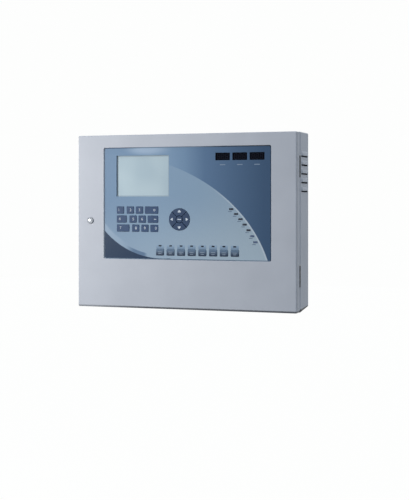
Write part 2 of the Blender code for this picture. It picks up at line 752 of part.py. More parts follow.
def make_display_board(door):
    x0, z0, x1, z1, notch_x, notch_z = display_board_frame()
    outline = [(x0, z0), (x1, z0), (x1, z1), (notch_x, z1), (notch_x, notch_z), (x0, notch_z)]
    bm = bmesh.new()
    add_prism(bm, outline, BOARD_FRONT, BOARD_REAR)
    board = solid("display_board", bm, GREEN_BOARD, door)
    bm = bmesh.new()
    for spot in stem_places():
        add_prism(bm, rectangle(*centred(spot, SWITCH, SWITCH)), SWITCH_TOP, BOARD_FRONT + WELD)
    for box in lamp_boxes() + function_lamp_boxes():
        emitter = rectangle(*centred(middle(box), EMITTER, EMITTER))
        add_prism(bm, emitter, BOARD_FRONT - EMITTER / 2, BOARD_FRONT + WELD)
    buzzer = (x1 - 2 * SOUNDER_RADIUS, (z1 + notch_z) / 2)
    add_prism(bm, circle(buzzer, SOUNDER_RADIUS), BOARD_REAR - WELD, BOARD_REAR + SOUNDER_HEIGHT)
    plug = rectangle(*centred((RIBBON_DOOR_X, RIBBON_Z), RIBBON_PLUG[0], RIBBON_PLUG[2]))
    add_prism(bm, plug, BOARD_REAR - WELD, BOARD_REAR + RIBBON_PLUG[1])
    join(board, bm)
    bm = bmesh.new()
    for spot in stem_places():
        well = STEM + 2 * FIT
        add_prism(bm, rectangle(*centred(spot, well, well)), SWITCH_TOP - STEM_REACH, WELL_END)
    cut(board, bm)


# Keys
def make_key(name, box, door):
    cap = rounded(*box, KEY_CORNER)
    top = rounded(*grown(box, -KEY_CHAMFER), KEY_CORNER)
    flange = rounded(*grown(box, KEY_FLANGE_LIP), KEY_CORNER)
    stem = rounded(*centred(middle(box), STEM, STEM), STEM / 4)
    sections = [(top, KEY_FRONT), (cap, KEY_FRONT + KEY_CHAMFER), (cap, FLANGE_FRONT), (flange, FLANGE_FRONT)]
    sections += [(flange, FLANGE_REAR), (stem, FLANGE_REAR), (stem, STEM_END)]
    bm = bmesh.new()
    add_loft(bm, sections)
    x, z = middle(box)
    key = solid(name, bm, KEY_BLUE, door, (x, KEY_FRONT, z))
    shade(key)


def nav_sector(direction):
    inner = NAV_CENTRE_RADIUS + NAV_SPLIT
    outer_half = math.pi / 4 - NAV_SPLIT / 2 / NAV_RADIUS
    inner_half = math.pi / 4 - NAV_SPLIT / 2 / inner
    outer = arc(NAV, NAV_RADIUS, direction - outer_half, direction + outer_half, ROUND // 3)
    return outer + arc(NAV, inner, direction + inner_half, direction - inner_half, ROUND // 6)


def make_nav_pad(door):
    names = ("up", "right", "down", "left", "centre")
    quarters = (math.pi / 2, 0, -math.pi / 2, math.pi)
    outlines = [nav_sector(q) for q in quarters] + [circle(NAV, NAV_CENTRE_RADIUS)]
    for name, outline, spot in zip(names, outlines, nav_stems()):
        bm = bmesh.new()
        add_prism(bm, outline, KEY_FRONT, FLANGE_REAR)
        key = solid(f"nav_key_{name}", bm, KEY_BLUE, door, (spot[0], KEY_FRONT, spot[1]))
        bm = bmesh.new()
        add_prism(bm, rectangle(*centred(spot, STEM, STEM)), FLANGE_REAR - WELD, STEM_END)
        join(key, bm)


# Hinges: the frame leaf lies on the box's lip, the door leaf inside the door's flange
def add_knuckle(bm, z0, z1):
    add_prism(bm, circle((HINGE_X, HINGE_Y), KNUCKLE, ROUND // 2), z0, z1, "z")


def bore(leaf, z):
    bm = bmesh.new()
    add_prism(bm, circle((HINGE_X, HINGE_Y), PIN + FIT, ROUND // 2), z - HINGE_LENGTH, z + HINGE_LENGTH, "z")
    cut(leaf, bm)


def make_hinge(side, z, door):
    low, high = z - HINGE_LENGTH / 2, z + HINGE_LENGTH / 2
    third = HINGE_LENGTH / 3
    edge = KNUCKLE + RUNNING

    y1 = BOX_FRONT - FIT
    bm = bmesh.new()
    add_block(bm, (HINGE_X - LEAF_REACH, y1 - LEAF, low), (HINGE_X - edge, y1, high))
    leaf = solid(f"hinge_frame_leaf_{side}", bm, DARK_STEEL)
    for z0, z1 in ((low, low + third - FIT / 2), (high - third + FIT / 2, high)):
        bm = bmesh.new()
        add_block(bm, (HINGE_X - edge - LEAF, y1 - LEAF, z0), (HINGE_X - PIN, y1, z1))
        join(leaf, bm)
        bm = bmesh.new()
        add_knuckle(bm, z0, z1)
        join(leaf, bm)
    bore(leaf, z)

    x1 = HALF_WIDTH - SHEET - FIT
    z0, z1 = low + third + FIT / 2, high - third - FIT / 2
    bm = bmesh.new()
    add_block(bm, (x1 - LEAF, DOOR_INNER + BEND, low), (x1, HINGE_Y - edge, high))
    leaf = solid(f"hinge_door_leaf_{side}", bm, DARK_STEEL, door, (HINGE_X, HINGE_Y, z))
    bm = bmesh.new()
    add_block(bm, (x1 - LEAF, HINGE_Y - edge - LEAF, z0), (x1, HINGE_Y - PIN, z1))
    join(leaf, bm)
    bm = bmesh.new()
    add_knuckle(bm, z0, z1)
    join(leaf, bm)
    bore(leaf, z)

    shank = circle((HINGE_X, HINGE_Y), PIN, ROUND // 2)
    head = circle((HINGE_X, HINGE_Y), PIN_HEAD, ROUND // 2)
    over = high + FIT
    bm = bmesh.new()
    add_loft(bm, ((shank, low), (shank, over), (head, over), (head, over + PIN_HEAD_HEIGHT)), "z")
    pin = solid(f"hinge_pin_{side}", bm, STEEL, None, (HINGE_X, HINGE_Y, z))
    shade(pin)


# Cam lock: the cam hangs down unlocked and turns behind the box's lip
def make_lock(door, lock):
    head = circle(LOCK, LOCK_HEAD_RADIUS)
    face = circle(LOCK, LOCK_HEAD_RADIUS - KEY_CHAMFER)
    body = circle(LOCK, LOCK_BARREL_RADIUS)
    under = DOOR_FRONT - FIT
    top = under - LOCK_HEAD
    barrel_rear = CAM_FRONT - FIT
    bm = bmesh.new()
    add_loft(bm, ((face, top), (head, top + KEY_CHAMFER), (head, under), (body, under), (body, barrel_rear)))
    barrel = solid("lock_barrel", bm, STEEL, door)
    bm = bmesh.new()
    add_prism(bm, circle(LOCK, LOCK_PLUG_RADIUS + FIT), top - LOCK_HEAD, barrel_rear + LOCK_HEAD)
    cut(barrel, bm)
    shade(barrel)

    nut_front = DOOR_INNER + FIT
    bm = bmesh.new()
    add_prism(bm, circle(LOCK, LOCK_NUT_RADIUS, 6), nut_front, nut_front + LOCK_NUT)
    nut = solid("lock_nut", bm, STEEL, door)
    bm = bmesh.new()
    add_prism(bm, circle(LOCK, LOCK_BARREL_RADIUS + FIT), nut_front - LOCK_NUT, nut_front + 2 * LOCK_NUT)
    cut(nut, bm)

    axis = (LOCK[0], CAM_FRONT, LOCK[1])
    bm = bmesh.new()
    add_prism(bm, circle(LOCK, LOCK_PLUG_RADIUS), top + FIT, barrel_rear)
    plug = solid("lock_plug", bm, STEEL, lock, axis)
    bm = bmesh.new()
    tail = rectangle(*centred(LOCK, LOCK_TAIL, LOCK_TAIL))
    add_prism(bm, tail, barrel_rear - WELD, CAM_FRONT + CAM + TAIL_PAST_CAM)
    join(plug, bm)
    bm = bmesh.new()
    add_prism(bm, rectangle(*centred(LOCK, *KEYWAY)), top - KEYWAY_DEPTH, top + KEYWAY_DEPTH)
    cut(plug, bm)
    shade(plug)

    half = CAM_WIDTH / 2
    tip = (LOCK[0], LOCK[1] - CAM_REACH + half)
    outline = arc(LOCK, half, 0, math.pi, ROUND // 2) + arc(tip, half, math.pi, math.tau, ROUND // 2)
    bm = bmesh.new()
    add_prism(bm, outline, CAM_FRONT, CAM_FRONT + CAM)
    cam = solid("lock_cam", bm, STEEL, lock, axis)
    bm = bmesh.new()
    hole = rectangle(*centred(LOCK, LOCK_TAIL + 2 * FIT, LOCK_TAIL + 2 * FIT))
    add_prism(bm, hole, CAM_FRONT - CAM, CAM_FRONT + 2 * CAM)
    cut(cam, bm)


# Inside the box
def battery_tabs(index):
    x0 = battery_left_edge(index)
    return x0 + TAB_INSET, x0 + BATTERY_LENGTH - TAB_INSET


def battery_y():
    return -SHEET - FIT - BATTERY_DEPTH / 2


def battery_top():
    return SHELF_TOP + FIT + BATTERY_HEIGHT


def make_batteries():
    for i, side in enumerate(("left", "right")):
        x0, y1, z0 = battery_left_edge(i), -SHEET - FIT, SHELF_TOP + FIT
        bm = bmesh.new()
        add_block(bm, (x0, y1 - BATTERY_DEPTH, z0), (x0 + BATTERY_LENGTH, y1, battery_top()))
        battery = solid(f"battery_{side}", bm, BATTERY_GREY)
        round_edges(battery, BATTERY_EDGE)
        bm = bmesh.new()
        for x in battery_tabs(i):
            low = (x - TAB[0] / 2, battery_y() - TAB[1] / 2, battery_top() - WELD)
            add_block(bm, low, (x + TAB[0] / 2, battery_y() + TAB[1] / 2, battery_top() + TAB[2]))
        join(battery, bm)


def make_battery_strap():
    left = battery_left_edge(0) - FIT
    right = battery_left_edge(1) + BATTERY_LENGTH + FIT
    wall = -SHEET - FIT
    front = wall - BATTERY_DEPTH - FIT
    outer = [(left - STRAP - STRAP_FOOT, wall), (left - STRAP - STRAP_FOOT, wall - STRAP)]
    outer += [(left - STRAP, wall - STRAP), (left - STRAP, front - STRAP), (right + STRAP, front - STRAP)]
    outer += [(right + STRAP, wall - STRAP), (right + STRAP + STRAP_FOOT, wall - STRAP)]
    inner = [(right + STRAP + STRAP_FOOT, wall), (right, wall), (right, front), (left, front), (left, wall)]
    z0 = SHELF_TOP + STRAP_RISE
    bm = bmesh.new()
    add_prism(bm, outer + inner, z0, z0 + STRAP_WIDTH, "z")
    solid("battery_strap", bm, STEEL)


def supply_corner():
    x0 = BOX_HALF - SHEET - SUPPLY_SIDE_GAP - SUPPLY_SIZE[0]
    return x0, BOX_BOTTOM_BACK + SHEET + SUPPLY_LIFT


def make_power_supply():
    x0, z0 = supply_corner()
    wall, front = -SHEET - FIT, -SHEET - FIT - SUPPLY_SIZE[1]
    z1 = z0 + SUPPLY_SIZE[2]
    step_y, step_z = front + SUPPLY_NOTCH[1], z1 - SUPPLY_NOTCH[0]
    profile = [(front, z0), (wall, z0), (wall, z1), (step_y, z1), (step_y, step_z), (front, step_z)]
    bm = bmesh.new()
    add_prism(bm, profile, x0, x0 + SUPPLY_SIZE[0], "x")
    solid("power_supply", bm, STEEL)


def socket_places():
    x0, z0, x1, z1 = main_board_box()
    low = z0 + SOCKET_SIZE[2]
    supply_x = supply_corner()[0] + SUPPLY_SIZE[0] / 4
    return {"battery": ((x0 + NAV[0]) / 2, low), "supply": (supply_x, low)}


def make_main_board():
    x0, z0, x1, z1 = main_board_box()
    bm = bmesh.new()
    add_prism(bm, rectangle(x0, z0, x1, z1), MAIN_FRONT, MAIN_REAR)
    board = solid("main_board", bm, GREEN_BOARD)
    bm = bmesh.new()
    back = MAIN_FRONT + WELD
    relay_z = z1 - TERMINAL_INSET - TERMINAL_SIZE[2] - RELAY_SIZE[2]
    for i in range(RELAY_COUNT):
        x = (i - (RELAY_COUNT - 1) / 2) * RELAY_PITCH
        relay = rectangle(*centred((x, relay_z), RELAY_SIZE[0], RELAY_SIZE[2]))
        add_prism(bm, relay, MAIN_FRONT - RELAY_SIZE[1], back)
    for spot in socket_places().values():
        socket = rectangle(*centred(spot, SOCKET_SIZE[0], SOCKET_SIZE[2]))
        add_prism(bm, socket, MAIN_FRONT - SOCKET_SIZE[1], back)
    plug = rectangle(*centred((RIBBON_MAIN_X, RIBBON_Z), RIBBON_PLUG[0], RIBBON_PLUG[2]))
    add_prism(bm, plug, MAIN_FRONT - RIBBON_PLUG[1], back)
    processor = rectangle(*centred((0, RIBBON_Z), RELAY_PITCH, RELAY_PITCH))
    add_prism(bm, processor, MAIN_FRONT - SHEET, back)
    join(board, bm)


def make_field_terminals():
    z1 = main_board_box()[3] - TERMINAL_INSET
    z0 = z1 - TERMINAL_SIZE[2]
    back = MAIN_FRONT - FIT
    front = back - TERMINAL_SIZE[1]
    slope = z1 - TERMINAL_SIZE[2] / 3
    profile = [(front, z0), (back, z0), (back, z1), (front + TERMINAL_SIZE[1] / 3, z1), (front, slope)]
    bm = bmesh.new()
    add_prism(bm, profile, -TERMINAL_SIZE[0] / 2, TERMINAL_SIZE[0] / 2, "x")
    strip = solid("field_terminals", bm, TERMINAL_GREEN)
    pitch = TERMINAL_SIZE[0] / TERMINAL_COUNT
    bm = bmesh.new()
    for i in range(TERMINAL_COUNT):
        x = (i - (TERMINAL_COUNT - 1) / 2) * pitch
        half = min(TERMINAL_WIRE, pitch - 2 * SHEET) / 2
        low = (x - half, front + TERMINAL_SIZE[1] / 2, z1 - TERMINAL_WIRE)
        add_block(bm, low, (x + half, back - 2 * SHEET, z1 + TERMINAL_WIRE))
    cut(strip, bm)


# Cables
# A smooth curve through the points, whose slope at each is that between its neighbours.
def smooth(points, steps=4):
    route = [Vector(p) for p in points]
    last = len(route) - 1
    slopes = [(route[min(i + 1, last)] - route[max(i - 1, 0)]).normalized() for i in range(last + 1)]
    found = []
    for i in range(last):
        start, end = route[i], route[i + 1]
        length = (end - start).length
        for step in range(steps):
            t = step / steps
            rise = t * t * (3 - 2 * t)
            bend = slopes[i] * t * (1 - t) ** 2 - slopes[i + 1] * t * t * (1 - t)
            found.append(start.lerp(end, rise) + bend * length)
    return found + [route[-1]]


def make_lead(name, points, finish):
    curve = bpy.data.curves.new(name, "CURVE")
    curve.dimensions = "3D"
    curve.bevel_depth = LEAD
    curve.bevel_resolution = 2
    curve.use_fill_caps = True
    route = smooth(points)
    spline = curve.splines.new("POLY")
    spline.points.add(len(route) - 1)
    for point, at in zip(spline.points, route):
        point.co = (*at, 1)
    lead = bpy.data.objects.new(name, curve)
    curve.materials.append(finish_of(name, finish))
    bpy.context.scene.collection.objects.link(lead)


def make_leads():
    y = battery_y()
    z = battery_top() + TAB[2] / 2
    clear = TAB[0] / 2 + FIT
    first, second = battery_tabs(0)
    third, fourth = battery_tabs(1)
    start, end = second + clear, third - clear
    top = ((start + end) / 2, y, z + LEAD_RISE)
    points = [(start, y, z), (start + LEAD_OUT, y, z), top, (end - LEAD_OUT, y, z), (end, y, z)]
    make_lead("battery_link_lead", points, RED_WIRE)

    x, socket_z = socket_places()["battery"]
    mid_y = MAIN_FRONT - SOCKET_SIZE[1] / 2
    rise = socket_z - z
    ends = (("negative", first, -1, BLACK_WIRE), ("positive", fourth, 1, RED_WIRE))
    for pole, tab, way, finish in ends:
        start = tab + way * clear
        out = start + way * LEAD_OUT
        inlet = x + way * (SOCKET_SIZE[0] / 2 + FIT)
        halfway = ((out + inlet) / 2, mid_y - LEAD_OUT, socket_z)
        points = [(start, y, z), (out, y, z), (out + way * LEAD_OUT, y, z + rise / 3)]
        points += [(out, (y + mid_y) / 2, socket_z - rise / 4), halfway]
        points += [(inlet + way * LEAD_OUT, mid_y, socket_z), (inlet, mid_y, socket_z)]
        make_lead(f"battery_lead_{pole}", points, finish)

    x, socket_z = socket_places()["supply"]
    low = supply_corner()[1] + SUPPLY_SIZE[2] + FIT
    high = socket_z - SOCKET_SIZE[2] / 2 - FIT
    bow = (x, mid_y - LEAD_OUT, (low + high) / 2)
    points = [(x, mid_y, low), (x, mid_y, low + LEAD_OUT), bow]
    points += [(x, mid_y, high - LEAD_OUT), (x, mid_y, high)]
    make_lead("supply_lead", points, RED_WIRE)


def ribbon_route():
    y0 = BOARD_REAR + RIBBON_PLUG[1] + FIT
    y1 = MAIN_FRONT - RIBBON_PLUG[1] - FIT
    door_turn, main_turn = y0 + RIBBON_OUT, y1 - RIBBON_OUT
    span = main_turn - door_turn
    loop = RIBBON_LOOP
    outward = (RIBBON_DOOR_X + loop) / 2
    inward = (RIBBON_MAIN_X + loop) / 2
    points = [(RIBBON_DOOR_X, y0, 0), (RIBBON_DOOR_X, door_turn, 0), (outward, door_turn + span / 3, 0)]
    points += [(loop, (door_turn + main_turn) / 2, 0), (inward, main_turn - span / 3, 0)]
    return smooth(points + [(RIBBON_MAIN_X, main_turn, 0), (RIBBON_MAIN_X, y1, 0)])


def make_ribbon_cable():
    route = ribbon_route()
    left, right = [], []
    for i, at in enumerate(route):
        along = route[min(i + 1, len(route) - 1)] - route[max(i - 1, 0)]
        if i in (0, len(route) - 1):
            along = Vector((0, 1, 0))
        side = Vector((-along.y, along.x, 0)).normalized() * RIBBON / 2
        left.append((at + side).to_2d().to_tuple())
        right.append((at - side).to_2d().to_tuple())
    bm = bmesh.new()
    add_prism(bm, left + right[::-1], RIBBON_Z - RIBBON_WIDTH / 2, RIBBON_Z + RIBBON_WIDTH / 2, "z")
    solid("ribbon_cable", bm, RIBBON_GREY)


def main():
    for obj in list(bpy.data.objects):
        bpy.data.objects.remove(obj, do_unlink=True)
    door = pivot("door_pivot", (HINGE_X, HINGE_Y, 0))
    lock = pivot("lock_pivot", (LOCK[0], CAM_FRONT, LOCK[1]), door)
    make_back_box()
    make_gland_plate()
    make_batteries()
    make_battery_strap()
    make_power_supply()
    make_main_board()
    make_field_terminals()
    make_leads()
    make_ribbon_cable()
    make_door_shell(door)
    make_window_gasket(door)
    make_fascia_plate(door)
    make_overlay(door)
    make_lcd(door)
    make_digit_displays(door)
    make_lens_strips(door)
    make_display_board(door)
    for i, box in enumerate(keypad_boxes()):
        make_key(f"keypad_key_{i + 1}", box, door)
    for i, box in enumerate(function_boxes()):
        make_key(f"function_key_{i + 1}", box, door)
    make_nav_pad(door)
    for side, z in (("upper", HINGE_UPPER), ("lower", HINGE_LOWER)):
        make_hinge(side, z, door)
    make_lock(door, lock)


main()
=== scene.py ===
# Fire alarm control panel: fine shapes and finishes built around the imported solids.
from math import asin, atan2, cos, pi, radians, sin, tau

import bmesh
import bpy
from mathutils import Matrix, Vector


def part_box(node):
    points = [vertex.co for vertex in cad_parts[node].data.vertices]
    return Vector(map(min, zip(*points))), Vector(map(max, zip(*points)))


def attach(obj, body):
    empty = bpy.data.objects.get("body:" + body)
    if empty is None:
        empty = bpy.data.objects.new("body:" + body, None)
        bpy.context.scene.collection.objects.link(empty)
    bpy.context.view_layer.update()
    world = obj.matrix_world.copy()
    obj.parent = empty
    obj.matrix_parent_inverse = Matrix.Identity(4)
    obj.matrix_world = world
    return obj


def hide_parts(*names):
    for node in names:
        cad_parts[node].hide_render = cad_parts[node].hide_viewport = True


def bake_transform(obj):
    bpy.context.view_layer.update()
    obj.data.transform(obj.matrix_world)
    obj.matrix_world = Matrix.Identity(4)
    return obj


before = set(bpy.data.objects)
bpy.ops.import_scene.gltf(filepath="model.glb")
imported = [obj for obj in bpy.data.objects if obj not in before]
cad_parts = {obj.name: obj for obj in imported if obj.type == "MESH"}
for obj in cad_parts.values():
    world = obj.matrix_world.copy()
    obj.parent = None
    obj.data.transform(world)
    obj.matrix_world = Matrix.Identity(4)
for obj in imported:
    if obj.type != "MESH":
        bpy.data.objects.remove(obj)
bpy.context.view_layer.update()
scene = bpy.context.scene

fit = 0.0003  # gap between two pieces that touch
ink = 0.00006  # half the thickness of a printed or moulded mark
hair = 0.00002  # as good as nothing
sliver = 0.01  # least angle between two points of a rim
grainRange = (0.3, 0.7)  # where most of a noise's values lie


# Colours are given as on a paint chart, 0 to 255
def tone(red, green, blue):
    shares = [value / 255 for value in (red, green, blue)]
    return (*[s / 12.92 if s <= 0.04045 else ((s + 0.055) / 1.055) ** 2.4 for s in shares], 1.0)


# Nodes of a material or of the world
def shaderOf(material):
    return material.node_tree.nodes["Principled BSDF"]


def add(owner, kind, **settings):
    node = owner.node_tree.nodes.new("ShaderNode" + kind)
    for name, value in settings.items():
        setattr(node, name, value)
    return node


# A node's inputs, each a plain value or another node's output
def feed(owner, node, values):
    for name, value in values.items():
        if isinstance(value, bpy.types.NodeSocket):
            owner.node_tree.links.new(value, node.inputs[name])
        else:
            node.inputs[name].default_value = value
    return node


def sums(owner, operation, *values):
    node = add(owner, "Math", operation=operation)
    return feed(owner, node, dict(enumerate(values))).outputs[0]


def times(owner, first, *others):
    for other in others:
        first = sums(owner, "MULTIPLY", first, other)
    return first


def ranged(material, value, fromLow, fromHigh, low=0.0, high=1.0):
    node = add(material, "MapRange", interpolation_type="SMOOTHSTEP")
    ends = {"From Min": fromLow, "From Max": fromHigh, "To Min": low, "To Max": high}
    return feed(material, node, {"Value": value, **ends}).outputs["Result"]


def mixed(material, share, first, second):
    sides = [tone(*side) if isinstance(side, tuple) else side for side in (first, second)]
    node = add(material, "Mix", data_type="RGBA")
    return feed(material, node, {0: share, 6: sides[0], 7: sides[1]}).outputs[2]


def grain(material, size, detail=2.0, stretch=(1, 1, 1)):
    place = add(material, "TexCoord").outputs["Object"]
    scale = feed(material, add(material, "Mapping"), {"Vector": place, "Scale": stretch})
    noise = {"Vector": scale.outputs["Vector"], "Scale": 1 / size, "Detail": detail}
    return feed(material, add(material, "TexNoise"), noise).outputs["Fac"]


def places(material):
    spot = add(material, "TexCoord").outputs["Object"]
    return feed(material, add(material, "SeparateXYZ"), {"Vector": spot}).outputs


def relief(material, height, depth):
    bump = feed(material, add(material, "Bump"), {"Height": height, "Distance": depth})
    feed(material, shaderOf(material), {"Normal": bump.outputs["Normal"]})


def paintWith(material, colour):
    feed(material, shaderOf(material), {"Base Color": colour})


# Another colour over a finish, where the share is high
def blendOver(material, share, colour):
    under = shaderOf(material).inputs["Base Color"].links[0].from_socket
    paintWith(material, mixed(material, share, under, colour))


# How strongly a finish shows the pale surround
def gloss(strength):
    return {"Specular IOR Level": strength}


satin, dull = gloss(0.34), gloss(0.27)


def blank(name, base, rough, metal=0.0, more=satin):
    material = bpy.data.materials.new(name)
    material.use_nodes = True
    plain = {"Base Color": tone(*base), "Roughness": rough, "Metallic": metal}
    feed(material, shaderOf(material), {**plain, **satin, **more})
    return material


# Fine grain in the gloss and the relief: its size in millimetres, its depth in thousandths of one
def speckle(material, rough, size, depth, stretch=(1, 1, 1)):
    speck = grain(material, size / 1e3, stretch=stretch)
    rougher = ranged(material, speck, *grainRange, *rough)
    feed(material, shaderOf(material), {"Roughness": rougher})
    relief(material, speck, depth / 1e6)


# A finish whose colour drifts in patches. Its sizes are the patches' and those of the grain.
def dress(name, light, dark, rough, sizes=(6, 0.5, 10), metal=0.0, stretch=(1, 1, 1), more=satin):
    material = blank(name, light, rough[0], metal, more)
    drift = ranged(material, grain(material, sizes[0] / 1e3, detail=4.0), *grainRange)
    paintWith(material, mixed(material, drift, dark, light))
    speckle(material, rough, *sizes[1:], stretch)
    return material


# Outlines as lists of points
def sweep(centre, radius, start, end, steps):
    turns = [start + (end - start) * i / steps for i in range(steps + 1)]
    return [(centre[0] + radius * cos(a), centre[1] + radius * sin(a)) for a in turns]


def disc(centre, radius, steps=24):
    return sweep(centre, radius, 0.0, tau, steps)[:-1]


def ring(x0, z0, x1, z1, radius, steps=4):
    left, right, low, high = x0 + radius, x1 - radius, z0 + radius, z1 - radius
    points = []
    for corner, centre in enumerate(((right, low), (right, high), (left, high), (left, low))):
        start = radians(90 * (corner - 1))
        points += sweep(centre, radius, start, start + radians(90), steps)
    return points


def hexagon(centre, radius, cuts=1):
    corners = [Vector(p) for p in disc(centre, radius, 6)]
    points = []
    for a, b in zip(corners, corners[1:] + corners[:1]):
        points += [tuple(a.lerp(b, i / cuts)) for i in range(cuts)]
    return points


def shrunk(points, centre, share):
    return [tuple(Vector(centre).lerp(Vector(p), share)) for p in points]


def quarterTurns(steps):
    return [pi / 2 * i / steps for i in range(steps + 1)]


def grow(box, margin):
    return (box[0] - margin, box[1] - margin, box[2] + margin, box[3] + margin)


def around(centre, width, height):
    x, z = centre
    return (x - width / 2, z - height / 2, x + width / 2, z + height / 2)


def middle(box):
    return ((box[0] + box[2]) / 2, (box[1] + box[3]) / 2)


def spread(count, pitch):
    return [(i - (count - 1) / 2) * pitch for i in range(count)]


def flatBox(node):
    low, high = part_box(node)
    return (low.x, low.z, high.x, high.z)


def level(points, height, axis="y"):
    if axis == "y":
        return [(a, height, b) for a, b in points]
    return [(height, a, b) if axis == "x" else (a, b, height) for a, b in points]


# Meshes
def loft(bm, loops, wrap=False, slot=0):
    rows = [[bm.verts.new(p) for p in loop] for loop in loops]
    pairs = list(zip(rows, rows[1:])) + ([(rows[-1], rows[0])] if wrap else [])
    faces = []
    for lower, upper in pairs:
        for i in range(len(lower)):
            j = (i + 1) % len(lower)
            faces.append(bm.faces.new((lower[i], lower[j], upper[j], upper[i])))
    if not wrap:
        faces += [bm.faces.new(rows[0]), bm.faces.new(rows[-1])]
    bmesh.ops.recalc_face_normals(bm, faces=faces)
    for face in faces:
        face.material_index = slot


def prism(bm, outline, low, high, axis="y", slot=0):
    loft(bm, (level(outline, low, axis), level(outline, high, axis)), slot=slot)


def block(bm, low, high, slot=0):
    outline = [(low[0], low[2]), (high[0], low[2]), (high[0], high[2]), (low[0], high[2])]
    prism(bm, outline, low[1], high[1], slot=slot)


# A flat block with round corners
def pad(bm, centre, size, corner, low, high, steps=2, axis="y", slot=0):
    prism(bm, ring(*around(centre, *size), corner, steps), low, high, axis, slot)


# A block with round corners, as rows of an inset, a height and perhaps a corner of its own
def stack(bm, box, corner, rows, steps=3, axis="y", slot=0):
    loops = []
    for inset, height, *own in rows:
        loops.append(level(ring(*grow(box, -inset), *(own or [corner]), steps), height, axis))
    loft(bm, loops, slot=slot)


def frameOf(bm, outer, inner, low, high, axis="y", slot=0):
    sides = ((outer, low), (outer, high), (inner, high), (inner, low))
    loft(bm, [level(points, height, axis) for points, height in sides], wrap=True, slot=slot)


# A turned shape: the profile is radius and height along the axis
def turned(bm, centre, profile, steps=32, wrap=False, slot=0, axis="y"):
    loops = [level(disc(centre, max(r, hair), steps), y, axis) for r, y in profile]
    loft(bm, loops, wrap, slot)


# Rows of a radius or inset and a height or depth, moved to where they start
def lifted(rows, start, way=1):
    return [(first, start + way * rise, *own) for first, rise, *own in rows]


def heights(start, way, *rises):
    return sorted(start + way * rise for rise in rises)


# A turned shape on a face that looks to the front (-1) or the back (1)
def raised(bm, centre, face, rows, steps=20, facing=-1, slot=0):
    turned(bm, centre, lifted(rows, face, facing), steps, slot=slot)


def glyph(bm, text, centre, y, size):
    curve = bpy.data.curves.new("glyph", "FONT")
    curve.body = text
    curve.size = size
    curve.extrude = ink
    curve.align_x = curve.align_y = "CENTER"
    holder = bpy.data.objects.new("glyph", curve)
    mesh = holder.to_mesh()
    upright = Matrix.Rotation(pi / 2, 4, "X")
    mesh.transform(Matrix.Translation((centre[0], y, centre[1])) @ upright)
    before = set(bm.faces)
    bm.from_mesh(mesh)
    for face in set(bm.faces) - before:
        face.material_index = 1
    holder.to_mesh_clear()
    bpy.data.objects.remove(holder)
    bpy.data.curves.remove(curve)


# Pieces
def smoothBy(obj, angle=32):
    obj.data.shade_smooth()
    obj.data.set_sharp_from_angle(angle=radians(angle))


def linked(name, bm, materials=()):
    mesh = bpy.data.meshes.new(name)
    bm.to_mesh(mesh)
    bm.free()
    obj = bpy.data.objects.new(name, mesh)
    scene.collection.objects.link(obj)
    for material in materials:
        mesh.materials.append(material)
    return obj


def piece(name, bm, materials, body, slot, *instead):
    obj = linked(name, bm, materials)
    smoothBy(obj)
    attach(obj, body)
    if instead:
        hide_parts(*instead)
    return obj


def soften(obj, width, segments=1):
    bevel = obj.modifiers.new("Soften", "BEVEL")
    bevel.width = width
    bevel.segments = segments
    bevel.limit_method = "ANGLE"
    bevel.angle_limit = radians(40)
    bevel.harden_normals = True


def flatten(obj):
    normals = obj.modifiers.new("Flatten", "WEIGHTED_NORMAL")  # flat faces keep flat shading
    normals.keep_sharp = True


def carve(obj, bm, operation="DIFFERENCE"):
    tool = linked("tool", bm)
    cut = obj.modifiers.new("Carve", "BOOLEAN")
    cut.operation = operation
    cut.solver = "EXACT"
    cut.object = tool
    bpy.context.view_layer.update()
    carved = obj.evaluated_get(bpy.context.evaluated_depsgraph_get())
    made = bpy.data.meshes.new_from_object(carved)
    obj.modifiers.remove(cut)
    obj.data = made
    bpy.data.meshes.remove(tool.data)  # takes the tool with it
    smoothBy(obj)


def repaint(node, material):
    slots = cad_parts[node].data.materials
    slots.clear()
    slots.append(material)


# Finishes
def powderCoat(name):
    return dress(name, (187, 192, 202), (182, 187, 197), (0.46, 0.56), (90, 1.1, 35))


def plated(name, light, dark, rough, sizes, metal=1.0, stretch=(1, 1, 1)):
    return dress(name, light, dark, rough, sizes, metal, stretch)


mouldedRough, mouldedGrain = (0.34, 0.5), (0.3, 12)


def moulded(name, light, dark):
    return dress(name, light, dark, mouldedRough, (12, *mouldedGrain), more=dull)


def printed(name, light, dark, rough=(0.36, 0.46)):
    return dress(name, light, dark, rough, (4, 0.3, 4))


greyPaint = powderCoat("grey_powder_coat")
# the door and the box have their own copies, which carry painted shade along their folds
doorPaint = powderCoat("door_powder_coat_painted_shade")
boxPaint = powderCoat("box_powder_coat_painted_shade")
satinNickel = plated("satin_nickel", (180, 185, 192), (166, 171, 179), (0.34, 0.46), (10, 0.4, 6))
brightSteel = plated("nickel_plate", (206, 208, 210), (188, 190, 194), (0.16, 0.3), (10, 0.4, 6))
zincSteel = plated("zinc_plate", (152, 154, 153), (128, 131, 131), (0.28, 0.45), (6, 0.6, 10))
darkSteel = plated("blackened_steel", (62, 64, 68), (44, 46, 50), (0.32, 0.5), (8, 0.6, 10), 0.8)
blackRubber = dress("black_rubber", (30, 30, 32), (20, 20, 22), (0.7, 0.85), (10, 0.4, 30))
# grey rubber made pale, as painted light in the shadowed gap round the window
litGasketRubber = dress("grey_rubber", (178, 184, 193), (168, 174, 183), (0.7, 0.85), (10, 0.4, 30))
sealFoam = dress("seal_foam", (74, 76, 80), (62, 64, 68), (0.8, 0.95), (8, 0.6, 80))
keyPlastic = moulded("blue_key_plastic", (43, 72, 109), (37, 64, 100))
navPlastic = moulded("dark_key_plastic", (40, 65, 98), (34, 58, 90))
keyMark = printed("pale_key_mark", (206, 216, 226), (192, 203, 215), (0.4, 0.5))
keyLine = printed("dim_key_mark", (150, 166, 184), (138, 154, 172), (0.4, 0.5))
printLabel = printed("printed_label", (104, 122, 145), (92, 110, 134))
